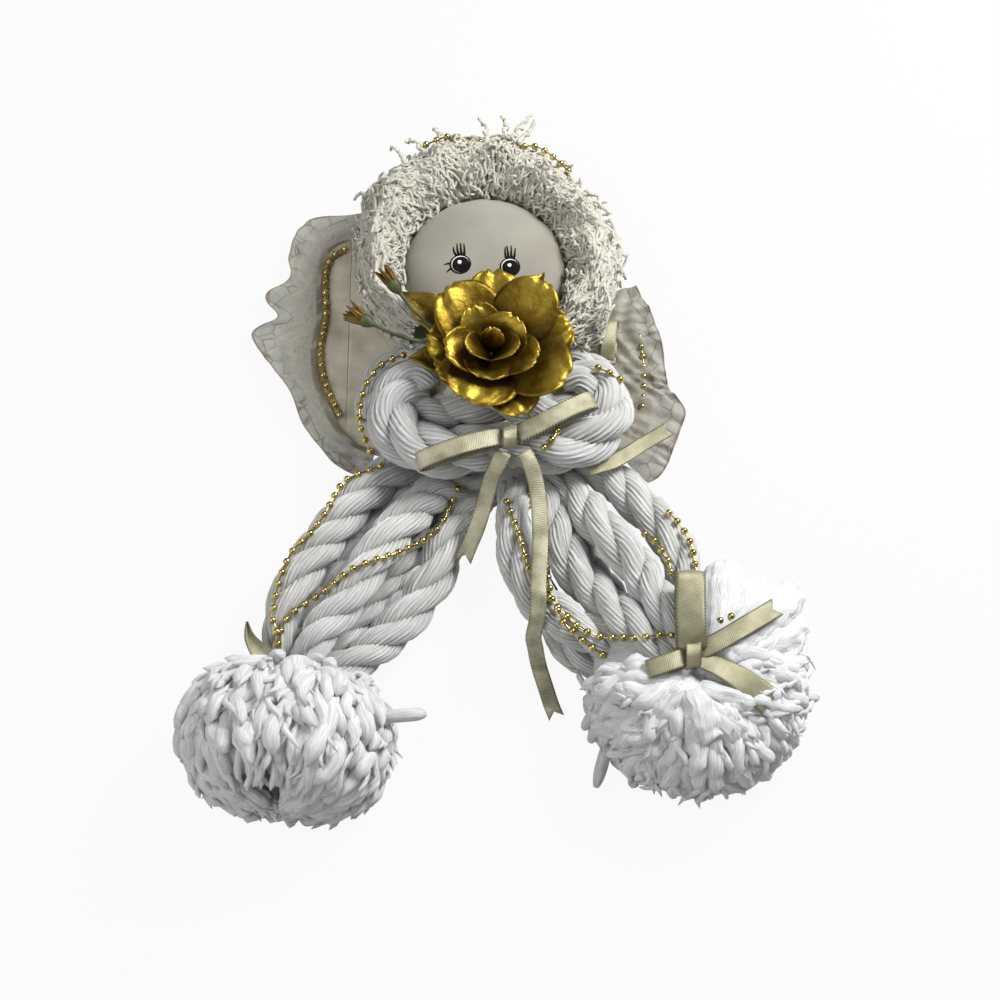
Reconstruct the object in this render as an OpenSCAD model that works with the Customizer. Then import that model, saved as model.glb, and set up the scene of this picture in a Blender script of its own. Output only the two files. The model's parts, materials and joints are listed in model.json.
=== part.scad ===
// Yarn angel doll lying on its back, front up and head towards +Y. A stuffed head with a yarn wig sits
// on looped ropes, two bundles of leg ropes swing on one chest stitch, and the lace wings fold up.

/* [Ropes] */
// Full diameter of a leg rope
leg_rope_d = 19; // [15:0.5:19.5]
// Full diameter of the shoulder rope that loops over the chest
shoulder_rope_d = 25; // [20:0.5:25]
// Full diameter of the rope behind the neck
collar_rope_d = 16; // [12:0.5:16]

/* [Chest stitch] */
// Diameter of the stitch that the two legs swing on
stitch_d = 3; // [2:0.1:4]
// Running gap round the stitch
stitch_gap = 0.05; // [0.02:0.01:0.1]
// Diameter of the binding round the top of each leg
hip_d = 24; // [22:0.5:26]
// Height of each hip binding along the stitch
hip_h = 8; // [6:0.5:8]

/* [Head] */
// Diameter of the face over its cloth
face_d = 75; // [65:1:76]
// Height of the stuffed face above its card disc
face_rise = 15; // [8:0.5:20]
// Thickness of the face cloth
face_cloth = 0.8; // [0.5:0.1:1.5]
// Outer diameter of the wig
hair_d = 124; // [110:1:130]

/* [Rose] */
// Diameter of the outer petal layer
rose_d = 62; // [50:1:66]
// Thickness of a petal
petal_t = 0.8; // [0.6:0.1:1.2]

/* [Trim] */
// Width of the ribbon
ribbon_w = 6.5; // [4:0.5:8]
// Thickness of the ribbon
ribbon_t = 0.6; // [0.4:0.1:1]
// Diameter of a bead
bead_d = 3; // [2:0.1:3.5]
// Distance from bead to bead along a string
bead_pitch = 5.3; // [4.5:0.1:8]
// Diameter of the thread between beads
thread_d = 0.8; // [0.6:0.1:1.2]

/* [Pom-poms] */
// Diameter of the left pom-pom across its leg
left_pompom_d = 88; // [70:1:90]
// Length of the left pom-pom along its leg
left_pompom_h = 56; // [45:1:62]
// Diameter of the right pom-pom
right_pompom_d = 94; // [80:1:100]
// Height of the right pom-pom
right_pompom_h = 45; // [38:1:48]

/* [Wings] */
// Thickness of the padded panel
panel_t = 3; // [2:0.5:3]
// Place of the left fold line
left_fold_x = -72; // [-74:0.5:-71]
// Place of the right fold line
right_fold_x = 64; // [63:0.5:65]
// Thickness of the lace
lace_t = 0.8; // [0.6:0.1:1.2]
// Height of the lace waves
lace_wave = 5; // [2:0.5:6]

/* [Hidden] */
leg_r = leg_rope_d / 2;
shoulder_r = shoulder_rope_d / 2;
collar_r = collar_rope_d / 2;
bead_r = bead_d / 2;
tube_sides = 10;
rope_steps = 3;
seam_gap = 0.3;
cord_gap = 0.3;

// Share of its full size that a leg rope keeps at the hip and at the ankle
hip_share = 0.24;
ankle_share = 0.46;
back_rope_r = leg_r - 2;
right_back_r = leg_r - 1.5;
bud_stem_r = 0.8;

// Chest stitch and hip bindings
chest = [4, 0];
left_hip_z = panel_t + 0.4;
right_hip_z = left_hip_z + hip_h + 0.4;
left_top_z = left_hip_z + hip_h / 2;
right_top_z = right_hip_z + hip_h / 2;
stitch_low_z = panel_t - 1;
stitch_top_z = right_hip_z + hip_h + 5;

// Head and wig
face_at = [-7, 88];
face_r = face_d / 2;
disc_z = 23.5;
disc_t = 2;
hair_at = [-6, 99];
hair_r = hair_d / 2;
hair_low_z = 6;
hair_top_z = 45.5;
hair_end_y = 62;

// Rose
rose_at = [0, 35];
rose_z = 44.5;
stem_d = 2.8;

// Ankles: where each bundle is tied, and which way it points
left_ankle = [-86, -104, 18];
left_ankle_dir = [-0.1, -0.98, 0.15];
right_ankle = [81, -98, 32];
right_ankle_dir = [0.66, -0.7, -0.26];
ankle_r = 11.4;
ankle_band_t = 1.2;
ankle_band_w = 6;
right_pompom_at = [85.4, -106];

// Plan of the gap in the right pom-pom where the leg ropes come in
leg_gap = [[97, -20], [97, -84], [90, -92], [74, -112], [20, -112], [20, -20]];

// Routes of the ropes, from the chest outwards
left_shoulder_route = [[3.7, -1, 33], [-4, -1.2, 33], [-13, -3.4, 33], [-24, -5, 33], [-39, -1, 33],
    [-48, 10, 33], [-47, 22, 32.5], [-39, 29, 32], [-32, 27, 31.5]];
right_shoulder_route = [[4.3, -1, 33], [12, -1.2, 33], [20, -3, 33], [29, -3, 33], [42, 3, 33],
    [48, 14, 33], [46, 25, 32.5], [38, 30, 32], [31, 28, 31.5]];
left_collar_route = [[-15, 78, 14.7], [-20, 62, 14.7], [-32, 53, 14], [-46, 49, 13.5], [-57, 40, 13],
    [-61, 28, 13], [-61, 20, 13]];
right_collar_route = [[1, 78, 14.7], [6, 62, 14.7], [22, 52, 14], [39, 47, 13.5], [50, 38, 13],
    [54.5, 26, 13], [54, 18, 13]];
chest_knot_route = [[-29, 14.5, 25], [-21, 18.5, 30], [-10, 22, 33], [5, 22.5, 33], [17, 18.5, 30.5],
    [26, 15, 25]];

left_outer_route = [[-8, 0.5, left_top_z], [-28, 1, 10.5], [-46, -4, 12.5], [-61, -18, 18], [-76, -38, 21],
    [-89, -59, 21.5], [-96, -76, 20], [-95.5, -92, 18], [-92.6, -103.5, 17.6]];
left_middle_route = [[-5, -8, left_top_z], [-14, -13.2, 10], [-26, -16, 14.4], [-36, -24.6, 19.2], [-44, -35.2, 24.8],
    [-50.5, -44.5, 28], [-61, -61, 29], [-68, -73.5, 28.5], [-79, -88, 29], [-86, -103, 24.6]];
left_inner_route = [[0, -11.2, left_top_z], [-9, -19.5, 8], [-19, -28, 9], [-23.5, -38, 10.5], [-26, -47, 11],
    [-30, -57, 11], [-37, -68, 11], [-46.5, -80.5, 12], [-60, -93, 14], [-71, -100.5, 15.5],
    [-79.4, -104, 18]];
left_back_route = [[-7, -4, left_top_z], [-24, -7.5, 7.4], [-33, -12, 7.9], [-43, -19.5, 8.2], [-54, -33, 8],
    [-64.5, -42, 7.6], [-75.5, -60, 7.6], [-83, -77, 8], [-86, -92, 10], [-86, -103, 11.4]];

right_outer_route = [[16, 0.5, right_top_z], [30, -1, 14], [46.5, -6.5, 13.5], [54.5, -13, 14.5], [66, -26, 17],
    [74.5, -38, 20], [80, -50, 21.5], [83, -64, 23], [85.5, -80, 27], [87, -92.5, 31]];
right_middle_route = [[15, -4.7, right_top_z], [24, -9.5, 15.2], [31, -15.5, 17], [37, -24.5, 21],
    [43, -34.5, 26], [50, -43, 28], [56, -50.5, 29], [62, -60, 31], [67, -72, 37], [73, -84, 42.5],
    [82.5, -98.5, 39.6]];
right_inner_route = [[11.9, -8.9, right_top_z], [18, -15.5, 16], [22, -22.5, 18], [24, -31.5, 20],
    [28, -44.5, 20], [33.5, -55.5, 19.5], [40.5, -64, 20], [48, -73, 26], [55, -82, 33.5], [64, -93, 37.5],
    [75.5, -103.5, 37]];
right_front_route = [[8, -11.5, right_top_z], [9.5, -19.5, 20], [7.5, -29, 25], [7.5, -43, 26], [10, -56, 26],
    [15.5, -69, 26], [24, -78.5, 26], [33, -86, 25.5], [46, -91.5, 25], [61, -97, 24], [76, -101.5, 26.5]];
right_back_route = [[3.2, -12, right_top_z], [4, -22, 13.2], [10, -37, 9], [16, -55, 8.2], [23, -75, 8.2],
    [33, -90, 8.2], [46, -97, 8.4], [60, -99.4, 9.4], [72, -93, 16.2], [81, -95, 25.2]];

// Routes of the ribbons
bow_left_route = [[1, -2.5, 45.6], [-10, -6, 47], [-22, -10, 46.4], [-33, -13, 44], [-36, -14, 46],
    [-33, -13, 48.5], [-21, -9, 50.8], [-9, -5, 50], [1, -2, 47.6]];
bow_right_route = [[7.5, -1.5, 45.6], [18, 3, 47], [29, 9, 47], [39, 13.5, 46.5], [42, 14.5, 48.6],
    [39, 13.5, 51], [28, 8, 52], [17, 2.5, 50.5], [7.5, -1, 47.6]];
bow_left_tail_route = [[1.5, -8.5, 45], [-0.5, -13, 43], [-3.5, -18, 38], [-6, -24, 31], [-10, -36, 25],
    [-13.5, -44, 22], [-16.5, -51, 20]];
bow_right_tail_route = [[10.5, -8.5, 45], [13, -13.5, 44], [15.5, -21, 42], [17, -31.5, 40.8],
    [17.5, -45, 40.4], [17, -58, 40.2], [16.5, -68, 40], [16.5, -75, 39.6], [16, -82, 36.4], [14.5, -87, 26],
    [15.5, -89.5, 16], [16.5, -92.5, 8], [18, -97, 3], [20, -103, 1.3], [22.5, -111, 0.8], [25, -117.5, 0.8]];
side_ribbon_route = [[44, -3, 27], [50, -6, 26], [57, -3, 25], [66, 4, 24.5], [77, 12, 24]];
side_bow_route = [[51, 52, 5], [52, 60, 4.5], [53, 70, 5], [53, 73, 8], [52, 69, 11], [51, 60, 11.5],
    [50, 52, 9]];
left_ribbon_end_route = [[-98, -100.5, 30.4], [-104, -94.5, 31.4], [-109, -88.5, 31.6]];
ankle_loop_up_route = [[80, -97, 46.4], [80, -88, 50.8], [80, -78, 51], [80, -73, 53], [80, -78, 55.4],
    [80, -88, 55], [80, -97, 48.8]];
ankle_loop_side_route = [[77.4, -101.6, 46], [72, -104.5, 46], [66, -107.5, 45.4], [63.5, -109, 47],
    [66, -107.5, 48.8], [72, -104.5, 49.6], [77.4, -101.6, 48.6]];
ankle_tail_up_route = [[84.2, -98.6, 46.4], [92, -96, 47.4], [104, -92, 47.4], [118, -88, 46]];
ankle_tail_down_route = [[84.2, -101.8, 46], [92, -106, 47], [102, -112, 47], [112, -118, 44.4]];

// Routes of the bead strings that leave the ropes
halo_route = [[-36, 155, 37.5], [-12, 160, 38], [10, 156, 38], [24, 148, 38.4], [33.5, 137, 39.6]];
chest_bead_route = [[-44, 43.5, 33], [-53, 39, 34], [-60, 30, 34], [-63, 20, 33], [-63, 9, 33],
    [-58, -3, 32]];
cross_bead_route = [[-18.8, -16.5, 19.4], [-21.9, -22.7, 17.4], [-25.3, -31, 18.5], [-30, -38, 20.5],
    [-36, -45, 27.5], [-43, -51, 34.5], [-49.9, -54.9, 38.6], [-56.9, -58.1, 40.2], [-63.9, -60.9, 40],
    [-69.9, -65.1, 37.9], [-75.8, -69, 33.3], [-82, -71.6, 29.5], [-87.5, -75, 29.6], [-91, -80, 29.6]];
front_bead_route = [[14.2, -20, 24], [14.3, -27.3, 27.6], [16.3, -34.2, 26], [18.2, -42.4, 26.6],
    [19.6, -51.5, 29.9], [20.6, -60.9, 34.4], [21.8, -69.3, 36.7], [25.5, -75.5, 37.4], [31.1, -82, 37],
    [36.9, -87, 36.2], [44, -90, 35.6], [48.5, -92, 35]];
inner_bead_route = [[3.1, -27.2, 31.8], [5.7, -35.8, 34.4], [8.2, -43.9, 35.6], [10.4, -51.9, 36.5],
    [12.2, -59.9, 37.5], [15.5, -67.5, 37.5], [19.5, -75, 37.2], [25.5, -83.5, 36.8], [32.3, -88.9, 36.1],
    [37.8, -93.5, 34.6], [43.9, -97.4, 32.6], [50.3, -100.4, 30.8], [57.7, -101.4, 31.2]];

// Routes of the bud stems
bud_routes = [[[-8.2, 38.2, 46.2], [-18, 43, 49.6], [-27, 46.5, 51.4], [-38, 55, 54.5], [-46, 65, 56.5]],
    [[-8.6, 35.4, 46.2], [-18, 37.4, 49.4], [-28, 40, 51], [-46, 44, 53.4], [-58, 50, 53.5]]];

// Outline of the padded panel, anticlockwise
panel_outline = [[-20, 122], [-52, 120], [-76, 119], [-86, 112], [-89, 98], [-88, 78], [-90, 58], [-87, 40],
    [-79, 22], [-66, 10], [-44, 3], [-20, -6], [4, -15], [26, -6], [46, 0], [62, 6], [69, 20], [73, 44],
    [72, 62], [66, 76], [50, 84], [30, 92], [8, 112]];
left_lace_seam = [[-75, 117], [-84, 111], [-87, 98], [-86, 78], [-88, 58], [-85, 41], [-77.5, 24], [-74, 18]];
right_lace_seam = [[66.5, 73.5], [70, 64], [71, 44], [67.5, 22], [66, 14]];
left_bead_seam = [[-75, 113], [-81.5, 108], [-84, 97], [-83, 78], [-85, 58], [-82, 42], [-75, 26]];
right_bead_seam = [[66.2, 66], [67.5, 56], [67.8, 44], [66.4, 30]];

// Smooth curves through hand-placed points

function unit(v) = v / norm(v);
function curve(a, b, c, d, t) =
    0.5 * (2 * b + (c - a) * t + (2 * a - 5 * b + 4 * c - d) * t * t + (3 * b - a - 3 * c + d) * t * t * t);
function smooth(p, n) =
    let (m = len(p) - 1)
    concat([for (i = [0:m - 1], k = [0:n - 1])
        curve(p[max(i - 1, 0)], p[i], p[i + 1], p[min(i + 2, m)], k / n)], [p[m]]);
function smooth_loop(p, n) =
    let (m = len(p))
    [for (i = [0:m - 1], k = [0:n - 1])
        curve(p[(i + m - 1) % m], p[i], p[(i + 1) % m], p[(i + 2) % m], k / n)];
function heading(p, i) = unit(p[min(i + 1, len(p) - 1)] - p[max(i - 1, 0)]);
function level_side(p, i) = unit(cross(heading(p, i), [0, 0, 1]));
function upward(p, i) = cross(level_side(p, i), heading(p, i));
function raised(p, z) = [for (q = p) [q[0], q[1], z]];

// Length walked up to each point, and the place at a given length
function walked(p) =
    [for (i = 0, s = 0; i < len(p); i = i + 1, s = s + (i < len(p) ? norm(p[i] - p[i - 1]) : 0)) s];
function place(p, w, s) = [for (k = [0:2]) lookup(s, [for (i = [0:len(p) - 1]) [w[i], p[i][k]]])];
function evenly(p, pitch) =
    let (w = walked(p), n = floor(w[len(w) - 1] / pitch))
    [for (i = [0:n]) place(p, w, i * pitch)];

// A closed skin over a row of rings; a ring runs over the top and back along the underside
module skin(rings, closed = false) {
    k = len(rings[0]);
    n = len(rings);
    last = (n - 1) * k;
    walls = [for (i = [0:n - (closed ? 1 : 2)], j = [0:k - 1])
        each let (here = i * k, ahead = (i + 1) % n * k, next = (j + 1) % k)
            [[here + j, here + next, ahead + next], [here + j, ahead + next, ahead + j]]];
    caps = closed ? [] : [for (j = [0:k / 2 - 2])
        each [[j, k - 2 - j, j + 1], [j, k - 1 - j, k - 2 - j],
            [last + j, last + j + 1, last + k - 2 - j], [last + j, last + k - 2 - j, last + k - 1 - j]]];
    polyhedron([for (r = rings) each r], concat(walls, caps));
}

// Swelling of a rope: full in the middle, thinner towards both ends
function swell(t, first, last) =
    1 - (1 - first) * max(0, 1 - t * 2.3) - (1 - last) * pow(max(0, 1 - (1 - t) * 2.4), 1.6);

module rope(route, r, first, last) {
    p = smooth(route, rope_steps);
    m = len(p) - 1;
    skin([for (i = [0:m])
        let (side = level_side(p, i), up = upward(p, i), size = r * swell(i / m, first, last))
        [for (k = [0:tube_sides - 1])
            p[i] + size * (cos(360 * k / tube_sides) * side + sin(360 * k / tube_sides) * up)]]);
}

// A flat ribbon with its width along one fixed direction, cut to the given widths at its ends
module ribbon(route, across, w = ribbon_w, end_w = ribbon_w) {
    p = smooth(route, 2);
    m = len(p) - 1;
    a = unit(across);
    skin([for (i = [0:m])
        let (half = a * (w + (end_w - w) * i / m) / 2, lift = unit(cross(heading(p, i), a)) * ribbon_t / 2)
        [p[i] - half + lift, p[i] + half + lift, p[i] + half - lift, p[i] - half - lift]]);
}

// Beads on a thread, each turned about its own upright axis to face along the string
module beads(p) {
    at = evenly(p, bead_pitch);
    inset = bead_r * 0.6;
    for (i = [0:len(at) - 1]) {
        ahead = heading(at, i);
        translate(at[i]) rotate(90 + atan2(ahead[1], ahead[0])) sphere(d = bead_d, $fn = 24);
    }
    for (i = [0:len(at) - 2]) {
        step = at[i + 1] - at[i];
        along(at[i] + unit(step) * inset, step)
            cylinder(d = thread_d, h = norm(step) - 2 * inset, $fn = 16);
    }
}

// A line of beads lying on a rope, from one share of its length to another, turning round it
function on_rope(route, r, first, last, from, to, turn_from, turn_to) =
    let (p = smooth(route, 4), m = len(p) - 1, a = floor(from * m), b = ceil(to * m))
    [for (i = [a:b])
        let (turn = turn_from + (turn_to - turn_from) * (i - a) / (b - a),
            out = r * swell(i / m, first, last) + bead_r + cord_gap)
        p[i] + out * (cos(turn) * level_side(p, i) + sin(turn) * upward(p, i))];

module along(origin, direction) {
    translate(origin) rotate([0, acos(direction[2] / norm(direction)), atan2(direction[1], direction[0])])
        children();
}

module ring_band(inner_r, t, w) {
    translate([0, 0, -w]) difference() {
        cylinder(r = inner_r + t, h = w, $fn = 64);
        translate([0, 0, -1]) cylinder(r = inner_r, h = w + 2, $fn = 64);
    }
}

// Panel and wings

module whole_panel() {
    linear_extrude(panel_t) polygon(smooth_loop(panel_outline, 4));
}

module slab(x0, x1) {
    translate([x0, -200, -1]) cube([x1 - x0, 400, panel_t + 2]);
}

module back_panel() {
    color("antiquewhite") intersection() {
        whole_panel();
        slab(left_fold_x, right_fold_x);
    }
}

module left_wing_panel() {
    color("antiquewhite") intersection() {
        whole_panel();
        slab(left_fold_x - 100, left_fold_x - seam_gap);
    }
}

module right_wing_panel() {
    color("antiquewhite") intersection() {
        whole_panel();
        slab(right_fold_x + seam_gap, right_fold_x + 100);
    }
}

// Gathered lace: flat along its seam, waving along its scalloped edge
module lace(seam, ends_w, swell_w, swell_at, waves, scallops) {
    p = smooth(raised(seam, panel_t), 8);
    m = len(p) - 1;
    outward = seam[0][0] < 0 ? 1 : -1;
    skin([for (i = [0:m])
        let (t = i / m,
            w = ends_w + swell_w * exp(-pow((t - swell_at) * 3.2, 2)) + 3.5 * abs(sin(180 * scallops * t)),
            out = outward * level_side(p, i) * w,
            rise = [0, 0, 0.6 + lace_wave * (0.5 + 0.5 * sin(360 * waves * t))],
            top = [0, 0, lace_t],
            ring = [p[i], p[i] + out + rise, p[i] + out + rise + top, p[i] + top])
        outward > 0 ? ring : [for (k = [3:-1:0]) ring[k]]]);
}

module left_wing_lace() {
    color("floralwhite")
        lace(left_lace_seam, ends_w = 11, swell_w = 14, swell_at = 0.55, waves = 7, scallops = 5);
}

module right_wing_lace() {
    color("floralwhite")
        lace(right_lace_seam, ends_w = 8, swell_w = 6, swell_at = 0.8, waves = 5, scallops = 3);
}

module left_wing_beads() {
    color("gold") beads(smooth(raised(left_bead_seam, panel_t + bead_r), 6));
}

module right_wing_beads() {
    color("gold") beads(smooth(raised(right_bead_seam, panel_t + bead_r), 6));
}

// Chest ropes and stitch

module chest_stitch() {
    color("white") translate([chest[0], chest[1], stitch_low_z])
        cylinder(d = stitch_d, h = stitch_top_z - stitch_low_z, $fn = 32);
}

module left_shoulder_rope() {
    color("white") rope(left_shoulder_route, shoulder_r, first = 0.85, last = 0.55);
}

module right_shoulder_rope() {
    color("white") rope(right_shoulder_route, shoulder_r, first = 0.85, last = 0.55);
}

module left_collar_rope() {
    color("white") rope(left_collar_route, collar_r, first = 1, last = 0.7);
}

module right_collar_rope() {
    color("white") rope(right_collar_route, collar_r, first = 1, last = 0.7);
}

module chest_knot() {
    color("white") rope(chest_knot_route, shoulder_r - 0.5, first = 0.5, last = 0.5);
}

// Head: card disc, stuffing and cloth cover turned under the disc

function dome(r, rise, z) = [for (a = [0:10:90]) [r * pow(cos(a), 0.6), z + rise * sin(a)]];

module head_disc() {
    color("tan") translate([face_at[0], face_at[1], disc_z])
        cylinder(r = face_r - face_cloth, h = disc_t, $fn = 64);
}

module head_padding() {
    color("white") translate([face_at[0], face_at[1], 0])
        rotate_extrude($fn = 64)
        polygon(concat([[0, disc_z + disc_t]], dome(face_r - face_cloth, face_rise, disc_z + disc_t)));
}

module face_cover() {
    under = disc_z - face_cloth;
    inner_r = face_r - face_cloth;
    hem_r = inner_r - 6;
    base = disc_z + disc_t;
    shell = dome(inner_r, face_rise, base);
    color("linen") translate([face_at[0], face_at[1], 0])
        rotate_extrude($fn = 64)
        polygon(concat([[hem_r, under], [face_r, under]], dome(face_r, face_rise + face_cloth, base),
            [for (i = [len(shell) - 1:-1:0]) shell[i]], [[inner_r, disc_z], [hem_r, disc_z]]));
}

// Yarn wig: a full collar round the face, open towards the chest
module hair_wig() {
    color("ivory") difference() {
        translate([hair_at[0], hair_at[1], 0]) rotate_extrude($fn = 72)
            polygon([[20, hair_low_z], [hair_r - 8, hair_low_z], [hair_r - 2, 14], [hair_r, 24],
                [hair_r - 3, 34], [hair_r - 11, 41], [hair_r - 22, hair_top_z], [20, hair_top_z]]);
        translate([face_at[0], face_at[1], 0]) cylinder(r = face_r + 0.05, h = 60, $fn = 64);
        translate([-100, hair_end_y - 100, 0]) cube([200, 100, 60]);
    }
}

module halo_beads() {
    color("gold") beads(smooth(halo_route, 6));
}

module chest_beads() {
    color("gold") beads(smooth(chest_bead_route, 6));
}

// Rose: stacked petal layers on a calyx and a wire stem

module rose_stem() {
    color("darkolivegreen") translate([rose_at[0], rose_at[1] - 3, rose_z - 9])
        cylinder(d = stem_d, h = 12, $fn = 24);
}

module rose_calyx() {
    color("olive") difference() {
        translate([rose_at[0], rose_at[1], rose_z]) cylinder(r1 = 6, r2 = 9, h = 3, $fn = 48);
        translate([rose_at[0], rose_at[1] - 3, rose_z - 1]) cylinder(d = stem_d, h = 5, $fn = 24);
    }
}

// One layer of petals cut from a single cloth: the outline dips between petals, and each petal cups up
// and turns its lip over
module petal_layer(count, r, rise, lip, z, start) {
    petal_steps = 6;
    cuts = 5;
    n = count * petal_steps;
    skin([for (i = [0:n - 1])
        let (turn = start + 360 * i / n,
            across = 2 * (i % petal_steps) / petal_steps - 1,
            reach = r * (0.6 + 0.4 * sqrt(max(0, 1 - across * across))),
            dir = [cos(turn), sin(turn), 0],
            line = [for (k = [0:cuts])
                let (u = k / cuts, out = 2 + (reach - 2) * u)
                rose_here(z) + dir * out
                    + [0, 0, rise * pow(u * reach / r, 1.4) - lip * pow(max(0, u - 0.6) / 0.4, 2)]])
        concat([for (q = line) q - [0, 0, petal_t]], [for (k = [cuts:-1:0]) line[k]])], closed = true);
}

function rose_here(z) = [rose_at[0], rose_at[1], z];

module rose_outer_petals() {
    color("goldenrod")
        petal_layer(count = 6, r = rose_d / 2, rise = 9, lip = 4, z = rose_z + 3.9, start = 10);
}

module rose_middle_petals() {
    color("goldenrod")
        petal_layer(count = 5, r = rose_d * 0.37, rise = 15, lip = 3, z = rose_z + 5.2, start = 40);
}

module rose_inner_petals() {
    color("goldenrod")
        petal_layer(count = 4, r = rose_d * 0.23, rise = 17, lip = 2, z = rose_z + 6.6, start = 20);
}

module rose_heart() {
    color("darkgoldenrod") translate(rose_here(rose_z + 6.7)) rotate_extrude($fn = 40)
        polygon([[0, 0], [2, 0], [4, 6], [5.5, 11], [5.2, 15], [4, 15.6], [3.6, 12], [1.5, 10], [0, 10]]);
}

// A leaf folded a little along its midrib, from its root to its tip
module leaf(root, tip, w) {
    n = 6;
    side = unit(cross([0, 0, 1], tip - root));
    skin([for (i = [0:n])
        let (t = i / n, at = root + (tip - root) * t + [0, 0, 1.4 * sin(180 * t)],
            half = side * (0.6 + w / 2 * pow(sin(180 * min(0.97, 0.12 + 0.86 * t)), 0.8)),
            fold = [0, 0, 0.12 * norm(half)], under = [0, 0, -petal_t],
            left = at - half + fold, right = at + half + fold)
        [left, at, right, right + under, at + under, left + under]]);
}

module rose_leaves() {
    root = rose_here(rose_z + 0.4);
    color("olive") {
        leaf(root + [-5.4, 3.6, 0], [-44, 66, 49], 18);
        leaf(root + [-6.6, -0.6, 0], [-40, 36, 46], 15);
        leaf(root + [3, 5.8, 0], [20, 76, 49], 15);
    }
}

module bud_stems() {
    color("darkolivegreen") for (route = bud_routes) rope(route, bud_stem_r, first = 1, last = 1);
}

module bud_heads() {
    color("goldenrod") for (route = bud_routes) {
        tip = route[len(route) - 1];
        along(tip, tip - route[len(route) - 2]) {
            cylinder(r1 = 1.2, r2 = 2.6, h = 4, $fn = 24);
            translate([0, 0, 4]) cylinder(r1 = 2.6, r2 = 5, h = 5, $fn = 24);
        }
    }
}

// Chest bow and side ribbons

module bow_left_loop() {
    color("palegoldenrod") ribbon(bow_left_route, [-0.3, 1, 0]);
}

module bow_right_loop() {
    color("palegoldenrod") ribbon(bow_right_route, [-0.45, 1, 0]);
}

module bow_knot() {
    color("palegoldenrod") translate([4.3, -2, 43.3]) cylinder(r1 = 3.2, r2 = 2.8, h = 5.5, $fn = 32);
}

module bow_left_tail() {
    color("palegoldenrod") ribbon(bow_left_tail_route, [1, -0.3, 0]);
}

module bow_right_tail() {
    color("palegoldenrod") ribbon(bow_right_tail_route, [1, 0.1, 0]);
}

module side_ribbon() {
    color("palegoldenrod") ribbon(side_ribbon_route, [-0.5, 1, 0]);
}

module side_bow() {
    color("palegoldenrod") ribbon(side_bow_route, [1, 0, 0]);
}

// Legs

module hip_binding(z) {
    translate([chest[0], chest[1], z]) difference() {
        cylinder(d = hip_d, h = hip_h, $fn = 64);
        translate([0, 0, -1]) cylinder(d = stitch_d + 2 * stitch_gap, h = hip_h + 2, $fn = 32);
    }
}

module leg_rope(route) {
    color("white") rope(route, leg_r, hip_share, ankle_share);
}

function on_leg(route, from, to, turn_from, turn_to) =
    on_rope(route, leg_r, hip_share, ankle_share, from, to, turn_from, turn_to);

module left_hip_binding() {
    color("whitesmoke") hip_binding(left_hip_z);
}

module left_outer_rope() {
    leg_rope(left_outer_route);
}

module left_middle_rope() {
    leg_rope(left_middle_route);
}

module left_inner_rope() {
    leg_rope(left_inner_route);
}

module left_back_rope() {
    color("white") rope(left_back_route, back_rope_r, first = 0.31, last = 0.56);
}

module left_ankle_binding() {
    color("white") along(left_ankle, left_ankle_dir) ring_band(ankle_r, ankle_band_t, ankle_band_w);
}

module left_ankle_ribbon() {
    color("palegoldenrod") along(left_ankle, left_ankle_dir)
        ring_band(ankle_r + ankle_band_t, ribbon_t, ankle_band_w - 1);
}

module left_ribbon_end() {
    color("palegoldenrod") ribbon(left_ribbon_end_route, [1, 0.9, 0], w = ribbon_w * 1.6, end_w = 1);
}

// Frayed yarn head, widest past its middle, cut flat where it lies
module left_pompom() {
    r = left_pompom_d / 2;
    h = left_pompom_h;
    color("white") intersection() {
        along(left_ankle, left_ankle_dir) rotate_extrude($fn = 64)
            polygon([[0, 0], [ankle_r, 0], [r * 0.6, h * 0.06], [r * 0.86, h * 0.2], [r, h * 0.45],
                [r * 0.96, h * 0.7], [r * 0.78, h * 0.89], [r * 0.45, h * 0.98], [0, h]]);
        translate([-200, -250, 0]) cube([250, 250, 100]);
    }
}

module left_outer_beads() {
    color("gold") beads(on_leg(left_outer_route, from = 0.34, to = 0.86, turn_from = 55, turn_to = 62));
}

module left_cross_beads() {
    color("gold") beads(smooth(cross_bead_route, 5));
}

module right_hip_binding() {
    color("whitesmoke") hip_binding(right_hip_z);
}

module right_outer_rope() {
    leg_rope(right_outer_route);
}

module right_middle_rope() {
    leg_rope(right_middle_route);
}

module right_inner_rope() {
    leg_rope(right_inner_route);
}

module right_front_rope() {
    leg_rope(right_front_route);
}

module right_back_rope() {
    color("white") rope(right_back_route, right_back_r, hip_share, ankle_share);
}

module right_ankle_binding() {
    color("white") along(right_ankle, right_ankle_dir) ring_band(ankle_r, ankle_band_t, ankle_band_w);
}

// Frayed yarn head seen from above, parted where the leg ropes come in
module right_pompom() {
    r = right_pompom_d / 2;
    h = right_pompom_h;
    color("white") difference() {
        translate([right_pompom_at[0], right_pompom_at[1], 0]) rotate_extrude($fn = 72)
            polygon([[0, 0], [r * 0.86, 0], [r * 0.98, h * 0.18], [r, h * 0.4], [r * 0.94, h * 0.62],
                [r * 0.78, h * 0.82], [r * 0.5, h * 0.96], [0, h]]);
        along(right_ankle, right_ankle_dir)
            translate([0, 0, -60]) cylinder(r = ankle_r + 2, h = 60, $fn = 48);
        translate([0, 0, -1]) linear_extrude(100) polygon(leg_gap);
    }
}

module ankle_bow_loops() {
    color("palegoldenrod") {
        ribbon(ankle_loop_up_route, [1, 0, 0]);
        ribbon(ankle_loop_side_route, [-0.4, 1, 0]);
        translate([80.5, -100, 45.3]) cylinder(r = 2.4, h = 3.6, $fn = 32);
    }
}

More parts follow.
